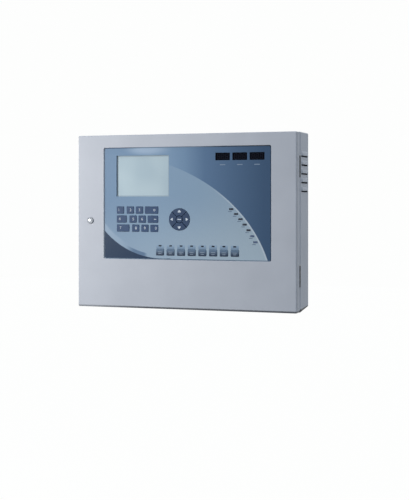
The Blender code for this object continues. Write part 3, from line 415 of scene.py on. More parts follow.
printPale = printed("printed_pale", (126, 145, 168), (116, 135, 158))
blackFilter = dress("dark_filter", (7, 10, 20), (4, 6, 14), (0.12, 0.2), (20, 2, 4),
                    more=gloss(0.025))
unlitSegment = dress("unlit_segment", (29, 32, 44), (23, 26, 38), (0.3, 0.4), (4, 0.4, 4),
                     more=gloss(0.06))
lensDark = dress("smoked_lens", (40, 48, 66), (32, 39, 56), (0.12, 0.22), (4, 0.6, 6))
lensPale = dress("blue_lens", (92, 110, 143), (78, 95, 128), (0.12, 0.22), (4, 0.6, 6))
print("plain finishes mixed")


# Overlay print: a pale field, a dark one outside a wide arc, and a dark lower left corner
overlayPrint = {
    "rough": (0.32, 0.44),
    "grain": (0.35, 8),
    "gloss": 0.23,
    "edge": 0.0007,  # softness of the printed edges
    "paleStops": ((-0.2, (101, 131, 162)), (-0.09, (123, 150, 177)),
                  (0.03, (133, 158, 182)), (0.16, (150, 170, 187))),
    "lowPale": (176, 193, 205),  # the pale field lightens towards this
    "lowFall": (-0.09, 0.07, 0.58, 0.0),  # along z, and across from the left
    "lowAcross": (-0.19, 0.1, 0.5, 1.0),
    "arcCentre": (-0.2, 0.0, -0.17),
    "arcReach": (0.4122, 0.3259),  # along x and z
    "rim": (188, 201, 213),
    "rimWidth": 0.0048,
    "rimAcross": (0.05, 0.15),
    "darkStops": ((-0.2, (100, 130, 161)), (-0.04, (120, 148, 177)), (0.0, (111, 140, 170)),
                  (0.05, (85, 114, 147)), (0.19, (57, 84, 115))),
    "gleam": (154, 176, 200),
    "gleamPlace": (-0.09, 0.0, 0.166),
    "gleamReach": (0.066, 0.018),
    "gleamFall": (0.2, 1.0, 1.0, 0.0),
    "corner": (14, 46, 76),
    "cornerCentre": (-0.0535, 0.0, 0.1123),
    "cornerRadius": 0.1971,
    "cornerTop": (-0.01, -0.005, 1.0, 0.0),
    "cornerRight": (-0.04, -0.03, 1.0, 0.0),
    "bandWidth": 0.015,  # pale band along the corner's edge
    "band": (142, 164, 186),
    "bandEdge": (1.0, 0.6),  # shares of its width
    "bandAcross": (-0.16, -0.128, 1.0, 0.0),
    "shade": (92, 118, 148),  # sliver of shade at the band's lower end
    "shadeEdge": (0.55, 0.5),
    "shadeFrom": (-0.146, -0.122),
    "shadeTo": (-0.1, -0.088, 1.0, 0.0),
}


def colourAlong(material, value, stops):
    low, high = stops[0][0], stops[-1][0]
    share = {"Value": value, "From Min": low, "From Max": high}
    along = feed(material, add(material, "MapRange"), share).outputs["Result"]
    ramp = feed(material, add(material, "ValToRGB"), {"Fac": along})
    elements = ramp.color_ramp.elements
    while len(elements) < len(stops):
        elements.new(0.5)
    for element, (at, shade) in zip(elements, stops):
        element.position = (at - low) / (high - low)
        element.color = tone(*shade)
    return ramp.outputs["Color"]


def distanceTo(material, point, centre):
    node = add(material, "VectorMath", operation="DISTANCE")
    return feed(material, node, {0: point, 1: centre}).outputs["Value"]


# Distance from a centre in shares of the oval's reach along x and z
def ovalShare(material, point, centre, reach):
    for operation, other in (("SUBTRACT", centre), ("MULTIPLY", (1 / reach[0], 0, 1 / reach[1]))):
        node = add(material, "VectorMath", operation=operation)
        point = feed(material, node, {0: point, 1: other}).outputs["Vector"]
    return distanceTo(material, point, (0, 0, 0))


def paintOverlay():
    p = overlayPrint
    film = blank("overlay_print", p["paleStops"][1][1], p["rough"][0], more=gloss(p["gloss"]))
    spot = places(film)
    x, z = spot["X"], spot["Z"]
    flat = feed(film, add(film, "CombineXYZ"), {"X": x, "Z": z}).outputs["Vector"]

    share = ovalShare(film, flat, p["arcCentre"], p["arcReach"])
    rim = p["rimWidth"] / p["arcReach"][0]
    inRim = ranged(film, share, 1 - rim, 1 - rim / 3)
    lower = times(film, ranged(film, z, *p["lowFall"]), ranged(film, x, *p["lowAcross"]))
    pale = mixed(film, lower, colourAlong(film, x, p["paleStops"]), p["lowPale"])
    pale = mixed(film, times(film, inRim, ranged(film, x, *p["rimAcross"])), pale, p["rim"])

    fromCorner = distanceTo(film, flat, p["cornerCentre"])
    radius, width, edge = p["cornerRadius"], p["bandWidth"], p["edge"]
    inBand, inShade = [ranged(film, fromCorner, *[radius - width * part for part in p[name]])
                       for name in ("bandEdge", "shadeEdge")]
    pale = mixed(film, times(film, inBand, ranged(film, x, *p["bandAcross"])), pale, p["band"])
    ends = [ranged(film, x, *p[end]) for end in ("shadeFrom", "shadeTo")]
    pale = mixed(film, times(film, inShade, *ends), pale, p["shade"])

    soft = edge / p["arcReach"][1]
    outside = ranged(film, share, 1 - soft, 1 + soft)
    both = mixed(film, outside, pale, colourAlong(film, x, p["darkStops"]))
    far = ovalShare(film, flat, p["gleamPlace"], p["gleamReach"])
    both = mixed(film, ranged(film, far, *p["gleamFall"]), both, p["gleam"])
    limits = ranged(film, z, *p["cornerTop"]), ranged(film, x, *p["cornerRight"])
    inCorner = times(film, ranged(film, fromCorner, radius - edge, radius + edge), *limits)
    paintWith(film, mixed(film, inCorner, both, p["corner"]))
    speckle(film, p["rough"], *p["grain"])
    return film


repaint("overlay", paintOverlay())
print("overlay printed")


# Display glass: a grey-green field with its dot grid and a darker rim
displayGlass = {
    "light": (182, 201, 210),
    "dark": (172, 192, 203),
    "rough": 0.14,
    "coat": {"Coat Weight": 0.4, "Coat Roughness": 0.05},
    "patch": 0.09,
    "patchRange": (0.35, 0.65),
    "dot": 0.00036,
    "dotLine": 0.12,  # share of a dot
    "dotShade": 0.04,
    "dotTone": (90, 104, 116),
    "rim": (120, 138, 150),
    "rimShade": 0.35,
    "rimWidth": 0.007,  # 4 mm of it behind the fascia
    "rimEdge": 0.0004,
}


def paintDisplay():
    d = displayGlass
    glass = blank("display_glass", d["light"], d["rough"], more=d["coat"])
    spot = places(glass)
    low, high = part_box("lcd_glass")
    grid, border = 0.0, 0.0
    for axis in ("X", "Z"):
        wave = sums(glass, "PINGPONG", sums(glass, "DIVIDE", spot[axis], d["dot"]), 0.5)
        line = ranged(glass, wave, 0.0, d["dotLine"], d["dotShade"], 0.0)
        grid = sums(glass, "MAXIMUM", grid, line)
        start, end = (low.x, high.x) if axis == "X" else (low.z, high.z)
        off = sums(glass, "ABSOLUTE", sums(glass, "SUBTRACT", spot[axis], (start + end) / 2))
        reach = (end - start) / 2 - d["rimWidth"]
        border = sums(glass, "MAXIMUM", border, ranged(glass, off, reach, reach + d["rimEdge"]))
    glow = ranged(glass, grain(glass, d["patch"], 1.0), *d["patchRange"])
    field = mixed(glass, grid, mixed(glass, glow, d["dark"], d["light"]), d["dotTone"])
    paintWith(glass, mixed(glass, times(glass, border, d["rimShade"]), field, d["rim"]))
    return glass


repaint("lcd_glass", paintDisplay())
repaint("window_gasket", litGasketRubber)

# Fascia: where its rim shows round the overlay its front follows the print, darkened in the gap as
# painted shade and pale at the window's left edge as painted light; plain grey behind
fascia = {
    "plain": ((150, 155, 163), (144, 149, 157)),
    "front": (-0.0954, -0.0952),  # the print ends between these
    "split": (0.04, 0.06),  # z between the lower and upper stops
    # first two stops: pale at the left edge, as painted light in the gap's shadow; the others
    # follow the print, darker as painted shade
    "upperStops": ((-0.1972, (215, 228, 240)), (-0.1966, (72, 94, 122)), (-0.14, (84, 106, 132)),
                   (-0.1, (122, 146, 172)), (0.03, (118, 140, 164)), (0.09, (44, 58, 78)),
                   (0.2, (34, 46, 62))),
    "lowerStops": ((-0.1972, (215, 228, 240)), (-0.1966, (104, 126, 150)),
                   (-0.1, (92, 114, 138)), (0.0, (90, 112, 136)), (0.08, (80, 100, 124)),
                   (0.14, (122, 140, 160)), (0.2045, (122, 140, 160)), (0.2049, (40, 54, 72))),
}


def paintFascia():
    f = fascia
    paint = dress("fascia_paint", *f["plain"], (0.5, 0.65), (30, 0.9, 20))
    spot = places(paint)
    sides = [colourAlong(paint, spot["X"], f[stops]) for stops in ("lowerStops", "upperStops")]
    rim = mixed(paint, ranged(paint, spot["Z"], *f["split"]), *sides)
    blendOver(paint, ranged(paint, spot["Y"], *f["front"], 1.0, 0.0), rim)
    return paint


repaint("fascia_plate", paintFascia())
print("display glazed")


# Door: a folded tray round the window, with painted shade along its lower fold and on the hinge
# side's flange
doorTray = {
    "sheet": 0.0015,
    "bend": 0.0025,
    "bendSteps": 6,
    "turns": 5,  # steps round a corner
    "sharp": 0.0002,  # least corner radius
    "windowGap": 0.002,  # window beyond the overlay
    "windowCorner": 0.003,
    "edge": 0.0005,  # rounding of a cut edge
    "edgeSteps": 3,
    "lockHole": 0.0065,
    "hingeSlot": (0.051, 0.0026),  # length and depth of the cut round a knuckle
    # colour of the painted shade along the door's lower fold
    "paintedFoldShade": (88, 92, 99),
    "foldRise": (0.0004, 0.0009),  # above the lower edge
    "foldFall": (0.0038, 0.0048),
    "foldFront": (0.0026, 0.003),  # behind the front
    "foldLeft": 0.45,  # share of it at the lock side
    "hingeSide": (0.001, 0.0004),  # inside the hinge side's face
    "flangeRise": (0.001, 0.0035),  # painted shade along that side's fold, behind the front
    "flangeFall": (0.01, 0.015),
    "paintedFlangeShade": 0.22,
}


# Painted shade: the door's coat darkens along its lower fold, less at the lock side, and on the
# hinge side's flange behind the front fold
def paintDoorShade():
    d = doorTray
    low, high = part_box("door_shell")
    x, y, z = places(doorPaint)

    def between(value, start, ends, *shares):
        return ranged(doorPaint, value, start + ends[0], start + ends[1], *shares)

    near, far = d["hingeSide"]
    hingeSide = between(x, high.x, (-near, -far))
    onFold = times(doorPaint, between(z, low.z, d["foldFall"], 1.0, 0.0),
                   between(z, low.z, d["foldRise"]))
    front = sums(doorPaint, "MAXIMUM", hingeSide, between(y, low.y, d["foldFront"], 1.0, 0.0))
    across = ranged(doorPaint, x, low.x, low.x / 3, d["foldLeft"], 1.0)
    under = times(doorPaint, onFold, front, across)
    flange = times(doorPaint, hingeSide, between(y, low.y, d["flangeRise"]),
                   between(y, low.y, d["flangeFall"], d["paintedFlangeShade"], 0.0))
    blendOver(doorPaint, sums(doorPaint, "MAXIMUM", under, flange), d["paintedFoldShade"])


def makeDoor():
    d = doorTray
    low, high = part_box("door_shell")
    front, rear = low.y, high.y
    sheet, bend, edge = d["sheet"], d["bend"], d["edge"]
    inner = bend - sheet
    whole = flatBox("door_shell")
    window = grow(flatBox("overlay"), d["windowGap"])

    def tray(inset, y, radius):
        return level(ring(*grow(whole, -inset), max(radius, d["sharp"]), d["turns"]), y)

    def cut(margin, y):
        return level(ring(*grow(window, margin), d["windowCorner"] + margin, d["turns"]), y)

    loops = []
    for turn in quarterTurns(d["bendSteps"]):  # outer bend, front to side
        side = bend * sin(turn)
        loops.append(tray(bend - side, front + bend - bend * cos(turn), side))
    loops += [tray(0.0, rear - edge / 2, bend), tray(edge / 2, rear, bend)]
    loops += [tray(sheet - edge / 2, rear, inner), tray(sheet, rear - edge / 2, inner)]
    for turn in reversed(quarterTurns(d["bendSteps"] // 2)):  # inner bend, side to front
        side = inner * sin(turn)
        loops.append(tray(bend - side, front + bend - inner * cos(turn), side))
    loops += [cut(edge / 2, front + sheet), cut(0.0, front + sheet - edge / 2)]
    for turn in quarterTurns(d["edgeSteps"]):  # rounded front edge of the window
        loops.append(cut(edge - edge * cos(turn), front + edge - edge * sin(turn)))
    bm = bmesh.new()
    loft(bm, loops, wrap=True)
    door = piece("doorTray", bm, [doorPaint], "door", "painted_grey", "door_shell")

    bm = bmesh.new()
    lock = disc(middle(flatBox("lock_barrel")), d["lockHole"], 32)
    prism(bm, lock, front - sheet, front + 2 * sheet)
    length, depth = d["hingeSlot"]
    for side in ("upper", "lower"):
        z = middle(flatBox(f"hinge_door_leaf_{side}"))[1]
        block(bm, (high.x - 2 * sheet, rear - depth, z - length / 2),
              (high.x + sheet, rear + sheet, z + length / 2))
    carve(door, bm)
    flatten(door)


paintDoorShade()
makeDoor()
print("door folded")


# Box: folded sheet with front lips, louvres, keyholes, board posts and the battery shelf
backBox = {
    "sheet": 0.0015,
    "bend": 0.0025,
    "bendSteps": (5, 3),  # outside and inside
    "lip": 0.014,
    "lipCorner": 0.002,
    "bottomRise": 0.008,
    "louvreCount": 5,
    "louvreTop": 0.1483,  # lower lip of the top louvre
    "louvrePitch": 0.0196,
    "louvreHeight": 0.01,
    "louvreProud": 0.003,
    "louvreRun": (-0.0631, -0.0076),
    "louvreTaper": 0.005,
    "louvreBow": 0.85,
    "louvreSteps": (20, 8),  # along and up
    "louvreSlot": (0.0032, 0.007),  # open below and above the lip
    "louvreEnd": 0.001,
    "hingeSlot": (0.0506, 0.0022),  # length, and depth behind the front
    "hingeInset": 0.0029,  # inside the hinge's axis
    "keyholes": (0.2, 0.15),
    "keyholeHead": 0.006,
    "keyholeSlot": 0.0033,
    "keyholeRise": 0.011,
    "gland": (0.15, 0.036),
    "glandCorner": 0.003,
    "posts": (0.142, -0.047, 0.112),  # x, low z and high z
    "post": ((0.003, 0.0092), (0.003, 0.0021), (0.0038, 0.0011)),
    "weld": 0.0004,  # overlap of what is welded on
    "shelfTop": -0.187,
    "shelf": (-0.2443, 0.0607),  # along x
    "shelfFront": -0.0668,
    "paintedFoldShade": (40, 42, 47),  # painted shade along the sides' lower edge
    "foldHeight": (0.0059, 0.0083),  # at the front
    "foldTaper": 0.058,  # its fall per length towards the back
    "foldSide": 0.0005,
}


# Painted shade: a near-black band along the lower edge of the box's sides, taller at the front and
# falling towards the back
def paintBoxShade():
    b = backBox
    low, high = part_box("back_box")
    x, y, z = places(boxPaint)
    slope = b["foldTaper"] - b["bottomRise"] / (high.y - low.y)
    above = sums(boxPaint, "MULTIPLY_ADD", sums(boxPaint, "SUBTRACT", y, low.y), slope, z)
    side = -low.x - b["bend"]
    nearSide = ranged(boxPaint, sums(boxPaint, "ABSOLUTE", x), side, side + b["foldSide"])
    nearFold = ranged(boxPaint, above, *heights(-high.z, 1, *b["foldHeight"]), 1.0, 0.0)
    blendOver(boxPaint, times(boxPaint, nearSide, nearFold), b["paintedFoldShade"])


def foldedBox(inset, bend, steps):
    low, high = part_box("back_box")
    front, back, bottom, top = low.y + inset, high.y - inset, -high.z + inset, high.z - inset
    profile = [(front, bottom), (back, bottom + backBox["bottomRise"]), (back, top), (front, top)]
    bm = bmesh.new()
    prism(bm, profile, low.x + inset, -low.x - inset, "x")
    bmesh.ops.bevel(bm, geom=bm.edges[:], offset=bend, segments=steps, profile=0.5,
                    affect="EDGES", clamp_overlap=True)
    return bm


# A hood pressed out of the wall, open below
def addLouvre(bm, wall, lip):
    b = backBox
    y0, y1 = b["louvreRun"]
    along, up = b["louvreSteps"]
    sheets = []
    for offset in (0.0, -b["sheet"]):
        rows = []
        for j in range(up + 1):
            hood = cos(pi / 2 * j / up) ** b["louvreBow"]
            row = []
            for i in range(along + 1):
                y = y0 + (y1 - y0) * i / along
                near = min(1.0, min(y - y0, y1 - y) / b["louvreTaper"])
                swell = sin(pi / 2 * near)
                x = wall - fit + (b["louvreProud"] + fit) * hood * swell + offset
                row.append(bm.verts.new((x, y, lip + b["louvreHeight"] * j / up)))
            rows.append(row)
        sheets.append(rows)
    outer, inner = sheets
    strips = list(zip(outer, outer[1:])) + list(zip(inner, inner[1:]))
    strips += [(outer[0], inner[0]), (outer[-1], inner[-1])]
    strips += [([row[end] for row in outer], [row[end] for row in inner]) for end in (0, -1)]
    faces = []
    for a, c in strips:
        faces += [bm.faces.new((a[i], a[i + 1], c[i + 1], c[i])) for i in range(len(a) - 1)]
    bmesh.ops.recalc_face_normals(bm, faces=faces)


def keyholeLoop(x, z):
    b = backBox
    slot = asin(b["keyholeSlot"] / b["keyholeHead"])
    up = pi / 2
    head = sweep((x, z), b["keyholeHead"], up + slot, tau + up - slot, 28)
    return head + sweep((x, z + b["keyholeRise"]), b["keyholeSlot"], 0, pi, 14)


def postSpots():
    x, low, high = backBox["posts"]
    return ((-x, low), (x, low), (x, high), (-x, high))


def makeBox():
    b = backBox
    low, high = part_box("back_box")
    half, front, sheet, lip = -low.x, low.y, b["sheet"], b["lip"]
    outerSteps, innerSteps = b["bendSteps"]
    shell = foldedBox(0.0, b["bend"], outerSteps)
    box = piece("backBox", shell, [boxPaint], "enclosure", "painted_grey", "back_box")
    carve(box, foldedBox(sheet, b["bend"] - sheet, innerSteps))

    bm = bmesh.new()
    opening = ring(-half + lip, -high.z + lip, half - lip, high.z - lip, b["lipCorner"])
    prism(bm, opening, front - sheet, front + 2 * sheet)
    length, depth = b["hingeSlot"]
    for side in ("upper", "lower"):
        x, z = middle(flatBox(f"hinge_pin_{side}"))
        block(bm, (x - b["hingeInset"], front - sheet, z - length / 2),
              (half + sheet, front + depth, z + length / 2))
    y0, y1 = b["louvreRun"]
    below, above = b["louvreSlot"]
    lips = [b["louvreTop"] - i * b["louvrePitch"] for i in range(b["louvreCount"])]
    for at in lips:
        block(bm, (half - 2 * sheet, y0 + b["louvreEnd"], at - below),
              (half + sheet, y1 - b["louvreEnd"], at + above))
    kx, kz = b["keyholes"]
    for x in (-kx, kx):
        for z in (-kz, kz):
            prism(bm, keyholeLoop(x, z), -2 * sheet, sheet)
    roof = (high.z - 2 * sheet, high.z + sheet)
    pad(bm, (0, front / 2), b["gland"], b["glandCorner"], *roof, 4, "z")
    carve(box, bm)

    bm = bmesh.new()
    for at in lips:
        addLouvre(bm, half, at)
    carve(box, bm, "UNION")

    bm = bmesh.new()
    for spot in postSpots():
        raised(bm, spot, 0.0, b["post"])
    top, edge, wall, foot = b["shelfTop"], b["shelfFront"], b["weld"] - sheet, -high.z + sheet / 2
    shelf = [(edge, foot), (edge + sheet, foot), (edge + sheet, top - sheet), (wall, top - sheet)]
    prism(bm, shelf + [(wall, top), (edge, top)], *b["shelf"], "x")
    carve(box, bm, "UNION")
    flatten(box)


paintBoxShade()
makeBox()
print("box folded")


# Keys: soft-edged caps with their marks
keyCap = {
    "lip": 0.0012,  # retaining flange beyond the cap
    "corner": 0.0016,
    "round": 0.0006,
    "roundSteps": 4,
    "flange": (0.0044, 0.0056),  # behind the cap's front
    "stem": 0.003,
    "stemEnd": 0.0081,
    "digit": 0.0092,
    "ring": (0.0026, 0.0016),
    "bars": {"bar": (0.0056, 0.0015), "wide": (0.009, 0.0019),
             "long": (0.0104, 0.0012), "short": (0.0078, 0.0012)},
    "barCorner": 0.0005,
}
keypad = {
    "marks": ("1", "2", "3", "ring", "4", "5", "6", "bar", "7", "8", "9", "0"),
    "across": (0.3, 0.55, 0.5, 0.72),  # place of the mark on the keys of each column
}
functionKeys = {
    "count": 8,
    "marks": (("long", 0.5, 0.0008), ("short", 0.5, -0.0032)),  # share across, and rise
    # key colour from foot to top: painted shade towards the foot, painted light at the top
    "tones": ((33, 50, 74), (95, 119, 145)),
    "toneFoot": 0.001,
}


def capLoops(outline, front):
    r = keyCap["round"]
    turns = quarterTurns(keyCap["roundSteps"])
    return [level(outline(r * (1 - sin(t))), front + r * (1 - cos(t))) for t in turns]


def addMark(bm, mark, centre, y):
    k = keyCap
    if mark == "ring":
        outer, inner = [disc(centre, radius) for radius in k["ring"]]
        frameOf(bm, outer, inner, y - ink, y + ink, slot=1)
    elif mark in k["bars"]:
        pad(bm, centre, k["bars"][mark], k["barCorner"], y - ink, y + ink, 4, slot=1)
    else:
        glyph(bm, mark, centre, y, k["digit"])


# A plastic that lightens upwards between two heights, as painted light and shade
def paintedShadePlastic(name, low, high, tones):
    plastic = blank(name, tones[0], mouldedRough[0], more=dull)
    rise = ranged(plastic, places(plastic)["Z"], low, high)
    paintWith(plastic, mixed(plastic, rise, *tones))
    speckle(plastic, mouldedRough, *mouldedGrain)
    return plastic


# Each mark has its share across the cap and its rise above the middle
def makeBoxKey(node, marks, plastic, markTone):
    k = keyCap
    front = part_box(node)[0].y
    near, far = heights(front, 1, *k["flange"])
    whole = flatBox(node)
    box = grow(whole, -k["lip"])
    loops = capLoops(lambda inset: ring(*grow(box, -inset), k["corner"]), front)
    flange = ring(*whole, k["corner"])
    loops += [level(ring(*box, k["corner"]), near), level(flange, near), level(flange, far)]
    stem = ring(*around(middle(box), k["stem"], k["stem"]), k["stem"] / 4)
    loops += [level(stem, far), level(stem, front + k["stemEnd"])]
    bm = bmesh.new()
    loft(bm, loops)
    for mark, across, rise in marks:
        addMark(bm, mark, (box[0] + (box[2] - box[0]) * across, middle(box)[1] + rise), front)
    flatten(piece(node + "_cap", bm, [plastic, markTone], node, "key_plastic", node))


keypadNodes = [f"keypad_key_{i + 1}" for i in range(len(keypad["marks"]))]
functionNodes = [f"function_key_{i + 1}" for i in range(functionKeys["count"])]
for i, node in enumerate(keypadNodes):
    mark = (keypad["marks"][i], keypad["across"][i % 4], 0.0)
    makeBoxKey(node, [mark], keyPlastic, keyMark)

_, functionFoot, _, functionTop = grow(flatBox(functionNodes[0]), -keyCap["lip"])
functionPlastic = paintedShadePlastic("function_key_painted_shade", functionFoot + functionKeys["toneFoot"],
                                functionTop, functionKeys["tones"])
for node in functionNodes:
    makeBoxKey(node, functionKeys["marks"], functionPlastic, keyLine)
print("keys moulded")


# Navigation pad: four arc keys with arrowheads round a centre key
navPad = {
    "turns": {"up": 90, "right": 0, "down": -90, "left": 180},
    "radius": 0.0253,
    "centreRadius": 0.0078,
    "split": 0.001,
    "tallArrow": (0.01, 0.0064),  # width and height of the arrowheads up and down
    "sideArrow": (0.008, 0.0064),
    "arrowAt": 0.0188,  # from the pad's centre
    "arrowSplit": (0.55, 0.45),  # its height outside and inside that
    "arrowRound": 0.16,  # share of each side cut off at a corner
    "stem": (0.003, 0.003),
    "stemCorner": 0.0006,
    "overlap": 0.0002,  # stem into the cap
}


def navSector(centre, direction, inset):
    n = navPad
    outer = n["radius"] - inset
    inner = n["centreRadius"] + n["split"] + inset
    wide, tight = [pi / 4 - (n["split"] / 2 + inset) / radius for radius in (outer, inner)]
    loop = sweep(centre, outer, direction - wide, direction + wide, 20)
    return loop + sweep(centre, inner, direction + tight, direction - tight, 10)


def addArrow(bm, centre, direction, y):
    n = navPad
    out = Vector((cos(direction), sin(direction)))
    side = Vector((-out.y, out.x))
    width, height = n["sideArrow" if abs(out.x) > 0.5 else "tallArrow"]
    tip, base = [height * share for share in n["arrowSplit"]]
    at = Vector(centre) + out * n["arrowAt"]
    foot, half = at - out * base, side * width / 2
    corners = [at + out * tip, foot + half, foot - half]
    outline = []
    for i, corner in enumerate(corners):  # each corner is cut off
        for other in (corners[i - 1], corners[(i + 1) % 3]):
            outline.append(tuple(corner.lerp(other, n["arrowRound"])))
    prism(bm, outline, y - ink, y + ink, slot=1)


def makeNavKey(node, outline, stemSpot, mark):
    n = navPad
    low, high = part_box("nav_key_centre")
    flange = low.y + keyCap["flange"][1]
    bm = bmesh.new()
    loft(bm, capLoops(outline, low.y) + [level(outline(0.0), flange)])
    pad(bm, stemSpot, n["stem"], n["stemCorner"], flange - n["overlap"], high.y, 4)
    mark(bm, low.y)
    flatten(piece(node + "_cap", bm, [navPlastic, keyMark], node, "key_plastic", node))


def makeNavPad():
    n = navPad
    centre = middle(flatBox("nav_key_centre"))
    reach = (n["radius"] + n["centreRadius"]) / 2
    for name, degrees in n["turns"].items():
        turn = radians(degrees)
        spot = (centre[0] + reach * cos(turn), centre[1] + reach * sin(turn))
        makeNavKey(f"nav_key_{name}", lambda inset: navSector(centre, turn, inset), spot,
                   lambda bm, y: addArrow(bm, centre, turn, y))
    makeNavKey("nav_key_centre", lambda inset: disc(centre, n["centreRadius"] - inset, 40), centre,
               lambda bm, y: addMark(bm, "wide", centre, y))


makeNavPad()
print("navigation pad moulded")


# Lenses, moulded in strips: a domed head shows through the overlay at each lamp
lensStrip = {
    "functionHead": (0.0064, 0.0026),
    "functionPitch": 0.02575,
    "functionCorner": 0.001,  # of their strip
    "statusHead": (0.0095, 0.0038),
    "statusCount": 7,
    "statusCentre": (-0.0741, -0.1736),
    "statusRadius": 0.2759,
    "statusFirst": 47.19,  # degrees
    "statusStep": -3.227,
    "statusWidth": 0.005,  # of their strip
    "strip": 0.002,
    "corner": 0.0007,
    "dome": ((0.0009, 0.0), (0.0004, 0.00012), (0.0001, 0.0004), (0.0, 0.0008)),
    "paleFrom": 5,  # status lamps from here on have the paler lens
}


def addLens(bm, centre, size, low, high, slot=0):
    s = lensStrip
    rows = lifted(s["dome"], low.y) + [(0.0, high.y - s["strip"] / 2)]
    stack(bm, around(centre, *size), s["corner"], rows, slot=slot)


def functionSpots():
    x = middle(flatBox(functionNodes[0]))[0]
    z = middle(flatBox("function_lens_strip"))[1]
    return [(x + i * lensStrip["functionPitch"], z) for i in range(functionKeys["count"])]


def statusTurn(index):
    return radians(lensStrip["statusFirst"] + index * lensStrip["statusStep"])


def statusSpots():
    s = lensStrip
    turns = [statusTurn(i) for i in range(s["statusCount"])]
    return [sweep(s["statusCentre"], s["statusRadius"], a, a, 1)[0] for a in turns]


def makeLenses():
    s = lensStrip
    low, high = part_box("function_lens_strip")
    bm = bmesh.new()
    strip = ring(*flatBox("function_lens_strip"), s["functionCorner"])
    prism(bm, strip, high.y - s["strip"], high.y)
    for spot in functionSpots():
        addLens(bm, spot, s["functionHead"], low, high)
    flatten(piece("functionLenses", bm, [lensDark], "door", "lens", "function_lens_strip"))

    low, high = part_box("status_lens_strip")
    bm = bmesh.new()
    past = s["statusHead"][0] / s["statusRadius"]
    first, last = statusTurn(0) + past, statusTurn(s["statusCount"] - 1) - past
    outer, inner = [s["statusRadius"] + way * s["statusWidth"] / 2 for way in (1, -1)]
    outline = sweep(s["statusCentre"], outer, first, last, 24)
    outline += sweep(s["statusCentre"], inner, last, first, 24)
    prism(bm, outline, high.y - s["strip"], high.y)
    for i, spot in enumerate(statusSpots()):
        addLens(bm, spot, s["statusHead"], low, high, 1 if i >= s["paleFrom"] else 0)
    flatten(piece("statusLenses", bm, [lensDark, lensPale], "door", "lens", "status_lens_strip"))


makeLenses()
print("lenses set")


# Print on the overlay: a field over each function key, a plain label by each lamp and window
overlayMarks = {
    "ink": (0.00004, 0.00001),  # before and behind the overlay's front
    "fieldWidth": 0.0188,
    "fieldRise": 0.0026,  # field above the lamp's middle
    "fieldGap": 0.0006,  # field above the key
    "fieldCorner": 0.001,
    "fieldHole": 0.0004,  # round the lamp
    "fieldTones": ((116, 140, 165), (142, 166, 189)),
    "fieldShade": 0.01,  # height over which it lightens, as painted light
    "statusLabel": (0.0085, 0.0016),
    "statusCorner": 0.0005,
    "statusDrop": (-0.0032, -0.0052),
    "digitLabel": (0.013, 0.002),
    "digitCorner": 0.0006,
    "digitDrop": 0.0085,
}
digitNodes = [f"digit_display_{i + 1}" for i in range(3)]


def makeOverlayMarks():
    m = overlayMarks
    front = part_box("overlay")[0].y
    top, back = front - m["ink"][0], front + m["ink"][1]
    half = m["fieldWidth"] / 2
    bm = bmesh.new()
    for x, z in functionSpots():
        outer = (x - half, functionTop + m["fieldGap"], x + half, z + m["fieldRise"])
        hole = grow(around((x, z), *lensStrip["functionHead"]), m["fieldHole"])
        frameOf(bm, ring(*outer, m["fieldCorner"]), ring(*hole, lensStrip["corner"]), top, back)
    # the printed field lightens upwards, carrying on the key's painted shade
    end = functionTop + m["fieldShade"]
    field = paintedShadePlastic("printed_field_painted_shade", functionTop, end, m["fieldTones"])
    piece("functionFields", bm, [field], "door", "overlay_film")

    bm = bmesh.new()
    dx, dz = m["statusDrop"]
    for x, z in statusSpots():
        pad(bm, (x + dx, z + dz), m["statusLabel"], m["statusCorner"], top, back, 3)
    piece("statusLabels", bm, [printLabel], "door", "overlay_film")

    bm = bmesh.new()
    for node in digitNodes:
        box = flatBox(node)
        spot = (middle(box)[0], box[1] - m["digitDrop"])
        pad(bm, spot, m["digitLabel"], m["digitCorner"], top, back, 3)
    piece("digitLabels", bm, [printPale], "door", "overlay_film")


makeOverlayMarks()
print("overlay marked")


# Numeric displays: three unlit seven-bar digits behind each dark filter
digitBars = {
    "count": 3,
    "pitch": 0.0098,
    "width": 0.0056,
    "height": 0.0112,
    "bar": 0.0011,
    "barGap": 1.2,  # kept free at a bar's ends, in half widths
    "barTip": 0.9,  # its point
    "slant": 0.12,
    "depth": 0.00005,
    "point": (0.0015, 0.0006),  # right of the digit, and its radius
    "pairs": ("ab", "cd", "ef", "ac", "bd", "ce", "df"),
}


def addBar(bm, start, end, y):
    d = digitBars
    half = d["bar"] / 2
    a, b = Vector(start), Vector(end)
    along = (b - a).normalized()
    side = Vector((-along.y, along.x)) * half
    gap, tip = along * half * d["barGap"], along * half * d["barTip"]
    a, b = a + gap, b - gap
    outline = [a - tip, a + side, b + side, b + tip, b - side, a - side]
    prism(bm, [tuple(p) for p in outline], y - d["depth"], y + d["depth"])


def makeDigits():
    d = digitBars
    w, h = d["width"] / 2, d["height"] / 2
    right, radius = d["point"]
    for i, node in enumerate(digitNodes):
        repaint(node, blackFilter)
        cx, cz = middle(flatBox(node))
        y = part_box(node)[0].y
        bm = bmesh.new()
        for shift in spread(d["count"], d["pitch"]):
            ends = {}
            for k, name in enumerate("abcdef"):  # left and right, from the top row down
                dx, dz = (w if k % 2 else -w), h * (1 - k // 2)
                ends[name] = (cx + shift + dx + d["slant"] * dz, cz + dz)
            for first, second in d["pairs"]:
                addBar(bm, ends[first], ends[second], y)
            point = disc((cx + shift + w + right, cz - h), radius, 12)
            prism(bm, point, y - d["depth"], y + d["depth"])
        piece(f"digitBars_{i + 1}", bm, [unlitSegment], "door", "black_filter")


makeDigits()
print("digits set")


